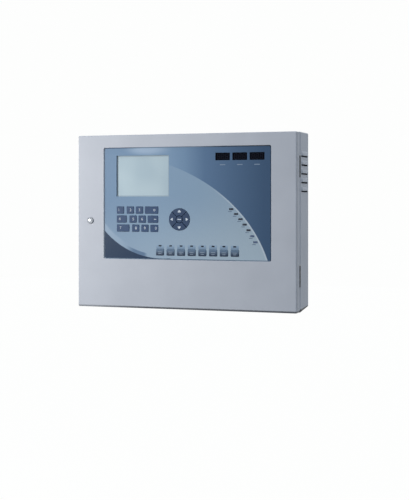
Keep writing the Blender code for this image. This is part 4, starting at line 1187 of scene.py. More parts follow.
# Cam lock
camLock = {
    "head": ((0.0047, 0.0006), (0.0054, 0.0001), (0.0057, 0.0), (0.006, 0.0001), (0.0065, 0.0005),
             (0.0069, 0.001), (0.0073, 0.0015), (0.0074, 0.0018), (0.0068, 0.0019)),
    "headGap": 0.0002,  # head to the door
    # black seal ring under the head; its dark side deepens the head's shaded right side as painted
    # shade
    "seal": ((0.0067, 0.002), (0.0072, 0.002), (0.0074, 0.0022)),
    "barrel": 0.0062,
    "thread": (0.0022, 0.0012),  # from the door's front to the barrel's end
    "threadPitch": 0.0009,
    "threadDepth": 0.0004,
    "plug": ((0.0038, 0.0), (0.0042, 0.0002), (0.0044, 0.0006)),
    "tail": (0.0052, 0.0052),
    "tailCorner": 0.0005,
    "overlap": 0.0004,  # tail into the plug
    "keyway": ((-0.0007, -0.0027), (0.0007, -0.0027), (0.0007, -0.0004), (0.0011, 0.0),
               (0.0007, 0.0004), (0.0007, 0.0027), (-0.0007, 0.0027), (-0.0007, 0.0012),
               (-0.0011, 0.0009), (-0.0007, 0.0006)),
    "keywayRun": (-0.002, 0.0032),  # from the plug's front
    "nut": 0.0098,
    "nutEdge": (0.0006, 0.93),  # height of its chamfer, and share left by it
    "nutGap": 0.0002,
    "camEdge": 0.0003,
}


def makeLock():
    c = camLock
    centre = middle(flatBox("lock_barrel"))
    low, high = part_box("lock_barrel")
    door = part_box("door_shell")[0].y
    front, under, end, barrel = low.y, door - c["headGap"], high.y, c["barrel"]
    head = lifted(c["head"], front)
    profile = [(head[0][0], end)] + head + [(head[-1][0], under), (barrel, under)]
    y = door + c["thread"][0]
    cut = c["threadDepth"]
    while y < end - c["thread"][1]:  # thread behind the door
        profile += [(barrel, y), (barrel - cut, y + cut), (barrel, y + 2 * cut)]
        y += c["threadPitch"]
    bm = bmesh.new()
    turned(bm, centre, profile + [(barrel, end)], 48, wrap=True)
    seal = lifted(c["seal"], front)
    seal += [(seal[-1][0], under), (seal[0][0], under)]
    turned(bm, centre, seal, 48, wrap=True, slot=1)
    piece("lockBarrel", bm, [satinNickel, blackRubber], "door", "bright_steel", "lock_barrel")

    low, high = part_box("lock_plug")
    bm = bmesh.new()
    face = lifted(c["plug"], low.y)
    turned(bm, centre, face + [(face[-1][0], end)], 40)
    pad(bm, centre, c["tail"], c["tailCorner"], end - c["overlap"], high.y)
    plug = piece("lockPlug", bm, [satinNickel], "lock", "bright_steel", "lock_plug")
    bm = bmesh.new()
    keyway = [(centre[0] + dx, centre[1] + dz) for dx, dz in c["keyway"]]
    prism(bm, keyway, *heights(low.y, 1, *c["keywayRun"]))
    carve(plug, bm)
    repaint("lock_cam", zincSteel)
    soften(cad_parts["lock_cam"], c["camEdge"], 2)

    low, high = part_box("lock_nut")
    bm = bmesh.new()
    outer = hexagon(centre, c["nut"], 4)
    edge, share = c["nutEdge"]
    flats, bore = shrunk(outer, centre, share), disc(centre, barrel + c["nutGap"])
    rows = ((flats, low.y), (outer, low.y + edge), (outer, high.y - edge), (flats, high.y),
            (bore, high.y), (bore, low.y))
    loft(bm, [level(points, y) for points, y in rows], wrap=True)
    piece("lockNut", bm, [zincSteel], "door", "bright_steel", "lock_nut")


makeLock()
print("lock fitted")


# Hinges: two leaves, a headed pin and round knuckles
hinge = {
    "knuckle": 0.0025,
    "knuckleEdge": 0.0002,
    "pin": 0.0012,
    "pinEnd": 0.0003,
    "pinHead": (0.001, 0.0006, 0.7),  # height, its rim's drop below the top and the top's share
    "leaf": 0.00125,
    "reach": 0.022,
    "running": 0.0004,  # leaf to the other leaf's knuckles
    "between": 0.00015,  # half the gap between two knuckles
    "root": 0.0005,  # where a leaf runs into its knuckle
    "overlap": 0.0001,
    "rivet": ((0.0, 0.0005), (0.00112, 0.0004), (0.0016, 0.0)),
    "rivetAt": 0.62,  # share of the reach
}


def addKnuckle(bm, axis, low, high):
    h = hinge
    bore, r, soft = h["pin"] + fit, h["knuckle"], h["knuckleEdge"]
    profile = [(bore, low), (r - soft, low), (r, low + soft), (r, high - soft), (r - soft, high)]
    turned(bm, axis, profile + [(bore, high)], 24, wrap=True, axis="z")


def makeHinge(side):
    h = hinge
    edge, root = h["knuckle"] + h["running"], h["pin"] + h["root"]
    parts = ("frame_leaf", "door_leaf", "pin")
    frameLeaf, doorLeaf, pin = [f"hinge_{part}_{side}" for part in parts]
    low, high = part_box(frameLeaf)
    pinLow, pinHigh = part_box(pin)
    x, y = axis = ((pinLow.x + pinHigh.x) / 2, (pinLow.y + pinHigh.y) / 2)
    third = (high.z - low.z) / 3
    y1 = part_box("back_box")[0].y - fit
    y0 = y1 - h["leaf"]
    bm = bmesh.new()
    block(bm, (x - h["reach"], y0, low.z), (x - edge, y1, high.z))
    gap = third - h["between"]
    for z0, z1 in ((low.z, low.z + gap), (high.z - gap, high.z)):
        block(bm, (x - edge - h["overlap"], y0, z0), (x - root, y1, z1))
        addKnuckle(bm, axis, z0, z1)
    for z in (low.z + third / 2, (low.z + high.z) / 2, high.z - third / 2):
        raised(bm, (x - h["reach"] * h["rivetAt"], z), y0, h["rivet"], 16)
    piece(f"hingeFrameLeaf_{side}", bm, [darkSteel], "enclosure", "dark_steel", frameLeaf)

    low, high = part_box(doorLeaf)
    x1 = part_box("door_shell")[1].x - doorTray["sheet"] - fit
    x0 = x1 - h["leaf"]
    z0, z1 = low.z + third + h["between"], high.z - third - h["between"]
    bm = bmesh.new()
    block(bm, (x0, low.y, low.z), (x1, y - edge, high.z))
    block(bm, (x0, y - edge - h["overlap"], z0), (x1, y - root, z1))
    addKnuckle(bm, axis, z0, z1)
    piece(f"hingeDoorLeaf_{side}", bm, [darkSteel], "door", "dark_steel", doorLeaf)

    r, end = h["pin"], h["pinEnd"]
    rise, drop, share = h["pinHead"]
    head, top = (pinHigh.x - pinLow.x) / 2, pinHigh.z
    profile = [(r - end, pinLow.z), (r, pinLow.z + end), (r, top - rise), (head, top - rise)]
    bm = bmesh.new()
    turned(bm, axis, profile + [(head, top - drop), (head * share, top)], 20, axis="z")
    piece(f"hingePin_{side}", bm, [brightSteel], "enclosure", "bright_steel", pin)


for side in ("upper", "lower"):
    makeHinge(side)
print("hinges fitted")


# Foam seal on the box's front lip, broken at the hinges
doorSeal = {
    "inset": 0.004,
    "width": 0.005,
    "rise": 0.0034,
    "sunk": 0.0001,
    "soft": 0.0008,
    "hingeGap": 0.0262,  # on each side of a hinge's middle
}


def makeSeal():
    s = doorSeal
    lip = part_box("back_box")[0].y
    x0, z0, x1, z1 = grow(flatBox("door_shell"), -s["inset"])
    wide, apart, soft = s["width"], s["hingeGap"], s["soft"]
    upper, lower = [middle(flatBox(f"hinge_pin_{side}"))[1] for side in ("upper", "lower")]
    runs = [(x0, z1 - wide, x1, z1), (x0, z0, x1, z0 + wide), (x0, z0 + wide, x0 + wide, z1 - wide)]
    limits = (z0 + wide, lower - apart, lower + apart, upper - apart, upper + apart, z1 - wide)
    runs += [(x1 - wide, limits[i], x1, limits[i + 1]) for i in (0, 2, 4)]
    rows = ((0.0, lip + s["sunk"]), (0.0, lip - s["rise"] + soft), (soft, lip - s["rise"]))
    bm = bmesh.new()
    for run in runs:
        stack(bm, run, soft, rows)
    piece("doorSeal", bm, [sealFoam], "enclosure", "grey_rubber")


makeSeal()
print("seal laid")


# Finishes inside the box
chipBlack = dress("chip_black", (36, 37, 40), (26, 27, 30), (0.4, 0.55), (6, 0.4, 10))
sleeveBlack = dress("capacitor_sleeve", (30, 34, 48), (22, 26, 38), (0.3, 0.42))
nylonWhite = dress("natural_nylon", (218, 214, 202), (204, 199, 186), (0.42, 0.55))
relayCase = dress("relay_case", (44, 60, 104), (36, 50, 92), (0.35, 0.48), (10, 0.5, 10))
terminalGreen = dress("terminal_green", (66, 158, 104), (54, 142, 92), (0.42, 0.55), (12, 0.5, 12))
batteryCase = dress("battery_case", (64, 66, 71), (52, 54, 59), (0.5, 0.66), (30, 0.7, 40))
batteryLid = dress("battery_lid", (54, 56, 60), (44, 46, 50), (0.48, 0.62), (30, 0.7, 30))
redPlastic = dress("red_insulation", (176, 34, 30), (156, 26, 24), (0.4, 0.52), (10, 0.5, 12))
blackWire = dress("black_insulation", (34, 34, 36), (24, 24, 26), (0.42, 0.56), (10, 0.5, 12))
ribbonGrey = dress("ribbon_grey", (176, 178, 182), (162, 164, 169), (0.44, 0.56), (12, 0.6, 10))
fuseGlass = dress("fuse_glass", (196, 204, 206), (184, 192, 195), (0.1, 0.2), (4, 0.4, 4))
amberLens = dress("amber_lens", (206, 150, 40), (188, 132, 30), (0.2, 0.3), (4, 0.4, 6))
# near-black that stands in for shade: screw crosses, switch wells and the supply's inside
shadowBlack = dress("painted_shadow_black", (22, 22, 24), (15, 15, 17), (0.7, 0.85), (20, 0.8, 20))
tinned = plated("tinned_copper", (188, 187, 180), (166, 165, 158), (0.26, 0.4), (3, 0.3, 8))
cageSteel = plated("cage_steel", (156, 160, 163), (138, 143, 147), (0.3, 0.46), (20, 0.7, 10),
                   stretch=(1, 1, 8))

# Circuit boards: green mask over tracks, which show in patches
solderMask = {
    "mask": (32, 92, 58),
    "track": (58, 126, 80),
    "pitch": 0.006,
    "brickLine": 0.03,  # share of the pitch
    "cellLine": (0.03, 0.06, 0.6, 0.0),
    "patch": 5,  # in pitches
    "patchEdge": (0.42, 0.5),
    "weave": 0.0006,
    "rough": (0.28, 0.4),
    "coat": {"Coat Weight": 0.2, "Coat Roughness": 0.2},
    "weaveShare": 0.15,
    "relief": 0.00004,
}


def paintBoard():
    m = solderMask
    board = blank("solder_mask", m["mask"], m["rough"][0], more=m["coat"])
    place = add(board, "TexCoord").outputs["Object"]
    cells = add(board, "TexVoronoi", feature="DISTANCE_TO_EDGE")
    feed(board, cells, {"Vector": place, "Scale": 1 / m["pitch"]})
    upright = {"Vector": place, "Rotation": (pi / 2, 0, 0)}
    turn = feed(board, add(board, "Mapping"), upright).outputs["Vector"]
    black, white = (0, 0, 0, 1), (1, 1, 1, 1)
    bricks = {"Vector": turn, "Scale": 1 / m["pitch"], "Mortar Size": m["brickLine"],
              "Color1": black, "Color2": black, "Mortar": white}
    straight = feed(board, add(board, "TexBrick"), bricks).outputs["Color"]
    angled = ranged(board, cells.outputs["Distance"], *m["cellLine"])
    here = ranged(board, grain(board, m["pitch"] * m["patch"], 1.0), *m["patchEdge"])
    tracks = times(board, sums(board, "MAXIMUM", angled, straight), here)
    paintWith(board, mixed(board, tracks, m["mask"], m["track"]))
    weave = grain(board, m["weave"])
    feed(board, shaderOf(board), {"Roughness": ranged(board, weave, *grainRange, *m["rough"])})
    relief(board, sums(board, "ADD", tracks, times(board, weave, m["weaveShare"])), m["relief"])
    return board


boardGreen = paintBoard()
print("inside finishes mixed")


# A plate with one round hole, as loops that share their angles
def holedPlate(bm, box, hole, radius, low, high, axis="y", steps=16):
    corners = [(box[2], box[1]), (box[2], box[3]), (box[0], box[3]), (box[0], box[1])]
    turns = [atan2(b - hole[1], a - hole[0]) % tau for a, b in corners]
    turns = sorted(set(turns + [tau * i / steps for i in range(steps)]))
    turns = [t for i, t in enumerate(turns) if i == 0 or t - turns[i - 1] > sliver]
    outer, inner = [], []
    for turn in turns:
        c, s = cos(turn), sin(turn)
        reach = []
        for share, near, far, at in ((c, box[0], box[2], hole[0]), (s, box[1], box[3], hole[1])):
            if abs(share) > hair:
                reach.append(((far if share > 0 else near) - at) / share)
        outer.append((hole[0] + c * min(reach), hole[1] + s * min(reach)))
        inner.append((hole[0] + c * radius, hole[1] + s * radius))
    frameOf(bm, outer, inner, low, high, axis)


# A punched sheet facing front: cells share their edges and each has an eight-sided hole
def punchedSheet(bm, box, across, up, radius, low, high):
    xs = [box[0] + (box[2] - box[0]) * i / (2 * across) for i in range(2 * across + 1)]
    zs = [box[1] + (box[3] - box[1]) * j / (2 * up) for j in range(2 * up + 1)]
    edges = [(i, j) for i in range(len(xs)) for j in range(len(zs)) if i % 2 == 0 or j % 2 == 0]
    grids = [{at: bm.verts.new((xs[at[0]], y, zs[at[1]])) for at in edges} for y in (low, high)]
    ways = ((1, 0), (1, 1), (0, 1), (-1, 1), (-1, 0), (-1, -1), (0, -1), (1, -1))
    faces = []
    for i in range(1, len(xs), 2):
        for j in range(1, len(zs), 2):
            outline = disc((xs[i], zs[j]), radius, 8)
            holes = [[bm.verts.new(p) for p in level(outline, y)] for y in (low, high)]
            rim = [(i + a, j + b) for a, b in ways]
            for k in range(8):
                n = (k + 1) % 8
                for grid, hole in zip(grids, holes):
                    faces.append(bm.faces.new((grid[rim[k]], grid[rim[n]], hole[n], hole[k])))
                faces.append(bm.faces.new((holes[0][k], holes[0][n], holes[1][n], holes[1][k])))
    right, top = len(xs) - 1, len(zs) - 1
    rim = [(i, 0) for i in range(right)] + [(right, j) for j in range(top)]
    rim += [(i, top) for i in range(right, 0, -1)] + [(0, j) for j in range(top, 0, -1)]
    for a, b in zip(rim, rim[1:] + rim[:1]):
        faces.append(bm.faces.new((grids[0][a], grids[0][b], grids[1][b], grids[1][a])))
    bmesh.ops.recalc_face_normals(bm, faces=faces)


# A pan head with a black cross inlay as painted shade for its recess, facing front (-1) or back (1)
panHead = {
    "profile": ((1.0, 0.0), (1.0, 0.4), (0.88, 0.8), (0.5, 1.0)),  # shares of radius and height
    "cross": (1.1, 0.22),
    "crossCorner": 0.05,
    "crossDepth": 0.2,
    "crossProud": 0.00003,
}


def addScrew(bm, centre, face, radius, height, facing=-1, slot=0, dark=1):
    h = panHead
    rows = [(radius * wide, height * rise) for wide, rise in h["profile"]]
    raised(bm, centre, face, rows, facing=facing, slot=slot)
    tip = face + facing * height
    low, high = sorted((tip + facing * h["crossProud"], tip - facing * height * h["crossDepth"]))
    long, short = [radius * share for share in h["cross"]]
    for size in ((long, short), (short, long)):
        pad(bm, centre, size, radius * h["crossCorner"], low, high, 1, slot=dark)


# Parts soldered to a face that looks to the front (-1) or the back (1)
smallParts = {
    "chipCorner": 0.0004,
    "chipGap": 0.0002,  # under the chip
    "dot": (0.0018, 0.0005),  # from the corner, and its radius
    "dotDepth": (0.00003, 0.0001),
    "leg": (0.0004, 0.0012, 0.0004),  # width, length and height
    "legOut": 0.0004,
    "resistor": (0.002, 0.0012),
    "resistorCap": 0.0004,
    "resistorRise": (0.0006, 0.00062),  # body and caps
}


def addLeg(bm, x, z, face, facing, upright, slot):
    width, length, rise = smallParts["leg"]
    dx, dz = (width / 2, length / 2) if upright else (length / 2, width / 2)
    low, high = heights(face, facing, 0.0, rise)
    block(bm, (x - dx, low, z - dz), (x + dx, high, z + dz), slot=slot)


def addChip(bm, centre, size, face, thick, pins, facing=-1, legs=1, allRound=False):
    s = smallParts
    box = around(centre, *size)
    low, high = heights(face, facing, s["chipGap"], thick)
    prism(bm, ring(*box, s["chipCorner"], 2), low, high)
    inset, radius = s["dot"]
    proud, sunk = s["dotDepth"]
    dot = [(radius, thick + proud), (radius, thick - sunk)]
    raised(bm, (box[0] + inset, box[3] - inset), face, dot, 12, facing, legs)
    out = s["legOut"]
    for i in range(pins):
        share = (i + 0.5) / pins
        for z in (box[1] - out, box[3] + out):
            addLeg(bm, box[0] + size[0] * share, z, face, facing, True, legs)
        for x in (box[0] - out, box[2] + out) if allRound else ():
            addLeg(bm, x, box[1] + size[1] * share, face, facing, False, legs)


def addResistor(bm, spot, face, facing):
    s = smallParts
    x0, z0, x1, z1 = around(spot, *s["resistor"])
    cap = s["resistorCap"]
    body, end = s["resistorRise"]
    runs = ((x0 + cap, x1 - cap, body, 0), (x0, x0 + cap, end, 1), (x1 - cap, x1, end, 1))
    for a, b, rise, slot in runs:
        low, high = heights(face, facing, 0.0, rise)
        block(bm, (a, low, z0), (b, high, z1), slot=slot)


# Plug or socket of the flat cable, with latches at its ends
cablePlug = {
    "size": (0.006, 0.034),
    "rise": 0.008,
    "corner": 0.0004,
    "edge": (0.0003, 0.0004),  # inset and height of its chamfer
    "latch": (0.0042, 0.0022),
    "latchOut": 0.0008,
    "latchCorner": 0.0003,
}


def addLatches(bm, spot, low, high):
    c = cablePlug
    for side in (-1, 1):
        at = (spot[0], spot[1] + side * (c["size"][1] / 2 + c["latchOut"]))
        pad(bm, at, c["latch"], c["latchCorner"], low, high)


# Main board
mainBoard = {
    "plate": 0.0016,
    "corner": 0.002,
    "edge": 0.0002,
    "relays": (6, 0.03, 0.087),  # count, pitch and z
    "relay": (0.019, 0.015),
    "relayRows": ((0.0008, 0.015, 0.0008), (0.0003, 0.0146, 0.0009), (0.0, 0.014), (0.0, 0.001),
                  (-0.0003, 0.001), (-0.0003, 0.0)),  # inset, height and corner
    "relayCorner": 0.001,
    "processor": ((0.0, 0.03), (0.03, 0.03), 0.0015, 22),
    "chips": (((-0.052, 0.034), (0.016, 0.0075), 10), ((0.052, 0.05), (0.01, 0.006), 8),
              ((0.052, 0.03), (0.01, 0.006), 8), ((0.052, 0.01), (0.01, 0.006), 8),
              ((-0.052, 0.006), (0.01, 0.004), 4)),
    "chipRise": 0.0018,
    "sockets": ((-0.0806, -0.041), (0.1258, -0.041)),
    "socket": (0.02, 0.009),
    "socketRise": (0.014, 0.002),  # its wall
    "socketWall": 0.0012,
    "socketFloor": 0.003,
    "socketCorners": (0.0008, 0.0006),
    "cableAt": (0.13, 0.03),
    "latchRise": (0.0092, 0.001),
    "capacitors": (((-0.12, 0.05), 0.008, 0.02), ((-0.098, 0.05), 0.008, 0.02),
                   ((-0.112, 0.018), 0.005, 0.012), ((0.092, -0.03), 0.0063, 0.016),
                   ((0.074, -0.03), 0.0063, 0.016)),  # place, radius and height
    "capacitorTop": ((0.001, 0.0), (0.0003, 0.0002), (0.0, 0.0008)),  # inset, below the top
    "capacitorFoot": ((0.0, 0.0022), (0.0006, 0.0016), (0.0, 0.001), (0.0, 0.0)),
    "capacitorCap": (0.0011, 0.00004, 0.0002),
    "resistors": ((-0.136, 0.0, 0.0042, 0.006, 9, 4), (0.074, 0.06, 0.0046, 0.0056, 8, 3),
                  (-0.036, -0.01, 0.0046, 0.0058, 20, 4)),  # start, pitches and counts
    "leftOut": (7, 3),  # one place in each seven stays empty
    "legs": (44, 0.006, (-0.129, 0.0965)),
    "leg": ((0.0003, 0.001), (0.0007, 0.0004), (0.001, 0.0)),
    "washer": ((0.0036, 0.0005), (0.0038, 0.0003), (0.0038, 0.0)),
    "screw": (0.003, 0.002),
}
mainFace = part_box("main_board")[1].y - mainBoard["plate"]


def boardPiece(name, bm, *materials):
    piece(name, bm, materials, "enclosure", "terminal_plastic")


def makeMainBoard():
    m, face = mainBoard, mainFace
    bm = bmesh.new()
    prism(bm, ring(*flatBox("main_board"), m["corner"]), face, face + m["plate"])
    board = piece("mainBoard", bm, [boardGreen], "enclosure", "circuit_board", "main_board")
    soften(board, m["edge"])

    bm = bmesh.new()
    count, pitch, z = m["relays"]
    rows = lifted(m["relayRows"], face, -1)
    for x in spread(count, pitch):
        stack(bm, around((x, z), *m["relay"]), m["relayCorner"], rows)
    boardPiece("relays", bm, relayCase)

    bm = bmesh.new()
    spot, size, thick, pins = m["processor"]
    addChip(bm, spot, size, face, thick, pins, allRound=True)
    for spot, size, pins in m["chips"]:
        addChip(bm, spot, size, face, m["chipRise"], pins)
    boardPiece("boardChips", bm, chipBlack, tinned)

    bm = bmesh.new()
    outerCorner, innerCorner = m["socketCorners"]
    wall = heights(face, -1, *m["socketRise"])
    for spot in m["sockets"]:
        box = around(spot, *m["socket"])
        hole = ring(*grow(box, -m["socketWall"]), innerCorner, 3)
        frameOf(bm, ring(*box, outerCorner, 3), hole, *wall)
        floor = ring(*grow(box, -m["edge"]), outerCorner, 3)
        prism(bm, floor, face - m["socketFloor"], face)
    boardPiece("boardSockets", bm, nylonWhite)

    bm = bmesh.new()
    c, spot = cablePlug, m["cableAt"]
    inset, drop = c["edge"]
    top = face - c["rise"]
    rows = ((inset, top), (0.0, top + drop), (0.0, face))
    stack(bm, around(spot, *c["size"]), c["corner"], rows, 2)
    addLatches(bm, spot, *heights(face, -1, *m["latchRise"]))
    boardPiece("ribbonSocket", bm, chipBlack)

    bm = bmesh.new()
    inset, proud, sunk = m["capacitorCap"]
    for spot, radius, rise in m["capacitors"]:
        rows = [(radius - inward, rise - drop) for inward, drop in m["capacitorTop"]]
        rows += [(radius - inward, height) for inward, height in m["capacitorFoot"]]
        raised(bm, spot, face, rows, 28)
        cap = [(radius - inset, rise + proud), (radius - inset, rise - sunk)]
        raised(bm, spot, face, cap, 28, slot=1)
    boardPiece("capacitors", bm, sleeveBlack, tinned)

    bm = bmesh.new()
    spots = []
    for x, z, across, down, columns, rows in m["resistors"]:
        spots += [(x + across * i, z - down * j) for j in range(rows) for i in range(columns)]
    every, empty = m["leftOut"]
    for i, spot in enumerate(spots):
        if i % every != empty:
            addResistor(bm, spot, face, -1)
    count, pitch, (x, z) = m["legs"]  # soldered under the terminals
    for i in range(count):
        raised(bm, (x + pitch * i, z), face, m["leg"], 10, slot=1)
    boardPiece("boardResistors", bm, chipBlack, tinned)

    bm = bmesh.new()
    for spot in postSpots():
        raised(bm, spot, face, m["washer"], 24)
        addScrew(bm, spot, face - m["washer"][0][1], *m["screw"])
    piece("boardScrews", bm, [zincSteel, shadowBlack], "enclosure", "bright_steel")


makeMainBoard()

# Fuses, indicator lamps, setting switches, a clock crystal, a header and two buttons beside them
boardExtras = {
    "fuses": ((-0.118, 0.089), (-0.118, 0.079), (-0.118, 0.069)),
    "fuse": (0.02, 0.0026, 0.0048),  # length, radius and height of its axis
    "fuseGlass": (0.94, 0.004),  # share of the radius, and start behind the cap's end
    "fuseCap": 0.0052,
    "clip": (0.001, 0.0002, 0.0006, 0.8),  # inset, gap, thickness and share of the radius
    "lamps": (6, 0.007, (0.096, 0.078)),
    "lamp": ((0.00015, 0.0042), (0.000825, 0.004), (0.001305, 0.0034), (0.0015, 0.0026),
             (0.0015, 0.0006), (0.001875, 0.0006), (0.001875, 0.0)),
    "switches": (8, 0.00254, (-0.072, -0.014)),
    "switchBody": (0.02232, 0.0098),
    # a black well under each slider, as painted shade in its recess, then the white slider
    "switchParts": (((0.0013, 0.0046), 0.00455, 0.004), ((0.0011, 0.0018), 0.0052, 0.0042)),
    "switchRise": 0.0045,
    "throw": 0.0012,
    "corner": 0.0002,
    "crystal": ((0.028, 0.006), (0.011, 0.0046), 0.0021),
    "crystalRows": ((0.0004, 0.0035, 0.0017), (0.0, 0.003), (0.0, 0.0)),
    "header": (5, 0.00254, (0.036, -0.042)),
    "headerBase": 0.0025,
    "pin": (0.0003, 0.0085, 0.002),  # half width, tip and foot
    "buttons": ((0.092, 0.002), (0.108, 0.002)),
    "button": (0.006, 0.0034),  # side and rise
    "buttonCover": (0.0058, 0.0021, 0.0037, 0.0033),
    "buttonCorner": 0.0005,
    "buttonStem": ((0.0014, 0.005), (0.0017, 0.0047), (0.0017, 0.003)),
}


def makeFuses():
    e, face = boardExtras, mainFace
    length, radius, axis = e["fuse"]
    share, start = e["fuseGlass"]
    inset, gap, thick, tall = e["clip"]
    bm = bmesh.new()
    for x, z in e["fuses"]:
        centre = (face - axis, z)
        x0, x1 = x - length / 2, x + length / 2
        prism(bm, disc(centre, radius * share, 20), x0 + start, x1 - start, "x")
        for left, right in ((x0, x0 + e["fuseCap"]), (x1 - e["fuseCap"], x1)):
            prism(bm, disc(centre, radius, 20), left, right, "x", slot=1)
            for side in (-1, 1):  # clips on both sides of the cap
                at = z + side * (radius + gap)
                block(bm, (left + inset, face - axis - radius * tall, at - thick / 2),
                      (right - inset, face, at + thick / 2), slot=1)
    boardPiece("boardFuses", bm, fuseGlass, tinned)


def makeBoardExtras():
    e, face = boardExtras, mainFace
    bm = bmesh.new()
    count, pitch, (x, z) = e["lamps"]
    for i in range(count):
        raised(bm, (x + i * pitch, z), face, e["lamp"], slot=i % 3)
    boardPiece("boardLamps", bm, terminalGreen, amberLens, redPlastic)

    bm = bmesh.new()
    count, pitch, (x, z) = e["switches"]
    pad(bm, (x, z), e["switchBody"], 2 * e["corner"], face - e["switchRise"], face)
    for i, shift in enumerate(spread(count, pitch)):
        throws = (0.0, e["throw"] if i % 3 else -e["throw"])
        for slot, (size, top, foot) in enumerate(e["switchParts"]):
            spot = (x + shift, z + throws[slot])
            pad(bm, spot, size, e["corner"], face - top, face - foot, slot=slot + 1)
    boardPiece("boardSwitches", bm, relayCase, shadowBlack, nylonWhite)

    bm = bmesh.new()
    spot, size, corner = e["crystal"]
    stack(bm, around(spot, *size), corner, lifted(e["crystalRows"], face, -1), 6)
    count, pitch, (x, z) = e["header"]
    base = (count * pitch, 2 * pitch)
    pad(bm, (x, z), base, fit, face - e["headerBase"], face, slot=1)
    half, tip, foot = e["pin"]
    for shift in spread(count, pitch):
        for row in spread(2, pitch):
            block(bm, (x + shift - half, face - tip, z + row - half),
                  (x + shift + half, face - foot, z + row + half))
    side, rise = e["button"]
    cover, hole, top, foot = e["buttonCover"]
    for spot in e["buttons"]:
        pad(bm, spot, (side, side), e["buttonCorner"], face - rise, face, slot=1)
        outline = ring(*around(spot, cover, cover), e["buttonCorner"])
        frameOf(bm, outline, disc(spot, hole, 20), face - top, face - foot)
        raised(bm, spot, face, e["buttonStem"], slot=1)
    boardPiece("boardParts", bm, tinned, chipBlack)


makeFuses()
makeBoardExtras()
print("main board filled")


# Field terminals: each way has a sunk clamp screw in front and a wire hole on top
fieldTerminals = {
    "ways": 22,
    "pitch": 0.012,
    "gap": 0.0003,
    "front": 0.005,  # depth of the clamp's hole
    "screwHole": 0.0036,
    "screw": (0.0031, 0.0028),
    "wireHole": 0.0025,
    "wireDepth": 0.006,
    "rail": ((0.0002, 0.004, 0.0004), 0.0014),  # insets of the rail behind, and its top
}


def makeTerminals():
    t = fieldTerminals
    low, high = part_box("field_terminals")
    split, mid = high.z - t["wireDepth"], low.y + t["front"]
    bm = bmesh.new()
    for i in range(t["ways"]):
        x0 = low.x + i * t["pitch"] + t["gap"] / 2
        x1 = x0 + t["pitch"] - t["gap"]
        front, top = (x0, low.z, x1, split), (x0, low.y, x1, high.y)
        holedPlate(bm, front, middle(front), t["screwHole"], low.y, mid)
        block(bm, (x0, mid, low.z), (x1, high.y, split))
        holedPlate(bm, top, middle(top), t["wireHole"], split, high.z, "z")
        addScrew(bm, middle(front), mid, *t["screw"], slot=1, dark=2)
    (end, back, foot), top = t["rail"]
    block(bm, (low.x + end, low.y + back, low.z + foot), (high.x - end, high.y, low.z + top))
    piece("fieldTerminals", bm, [terminalGreen, zincSteel, shadowBlack], "enclosure",
          "terminal_plastic", "field_terminals")


makeTerminals()
print("terminals set")


# Power supply: a punched cage over a black block that stands for the shade inside it, with its own
# terminals in the step
powerCage = {
    "sheet": 0.001,
    "corners": (0.0012, 0.0006, 0.0002),  # outside, inside and round the punched field
    "lap": 0.0001,
    "holes": (22, 12),
    "hole": 0.002,
    "border": 0.007,
    "step": (0.012, 0.018),  # height, and depth behind the front
    "stepLap": 0.0005,
    "inside": 0.006,  # behind the front
    "coils": (5, 0.028, 0.022),  # count, pitch and first
    "coilRise": (-0.016, 0.014),  # from the middle, in turn
    "coil": ((0.008, 0.003), (0.009, 0.0034), (0.009, 0.0062)),
    "ways": 9,
    "wayEnds": (0.012, 0.04),
    "wayEdge": 0.0006,  # from the step's foot and top
    "wayFloor": (0.01, 0.0018),  # reach and thickness
    "wayWall": (0.012, 0.0012),
    "clamp": (0.0032, 0.001, 0.0018, 0.0006),  # reach, and insets beside, below and above
    "screw": (0.003, 0.0022),
    "screwAt": (0.003, 0.0006),  # before the step, and above the middle
    "lampAt": 0.022,
    "lamp": ((0.0016, 0.003), (0.0022, 0.0022), (0.0024, 0.0)),
}


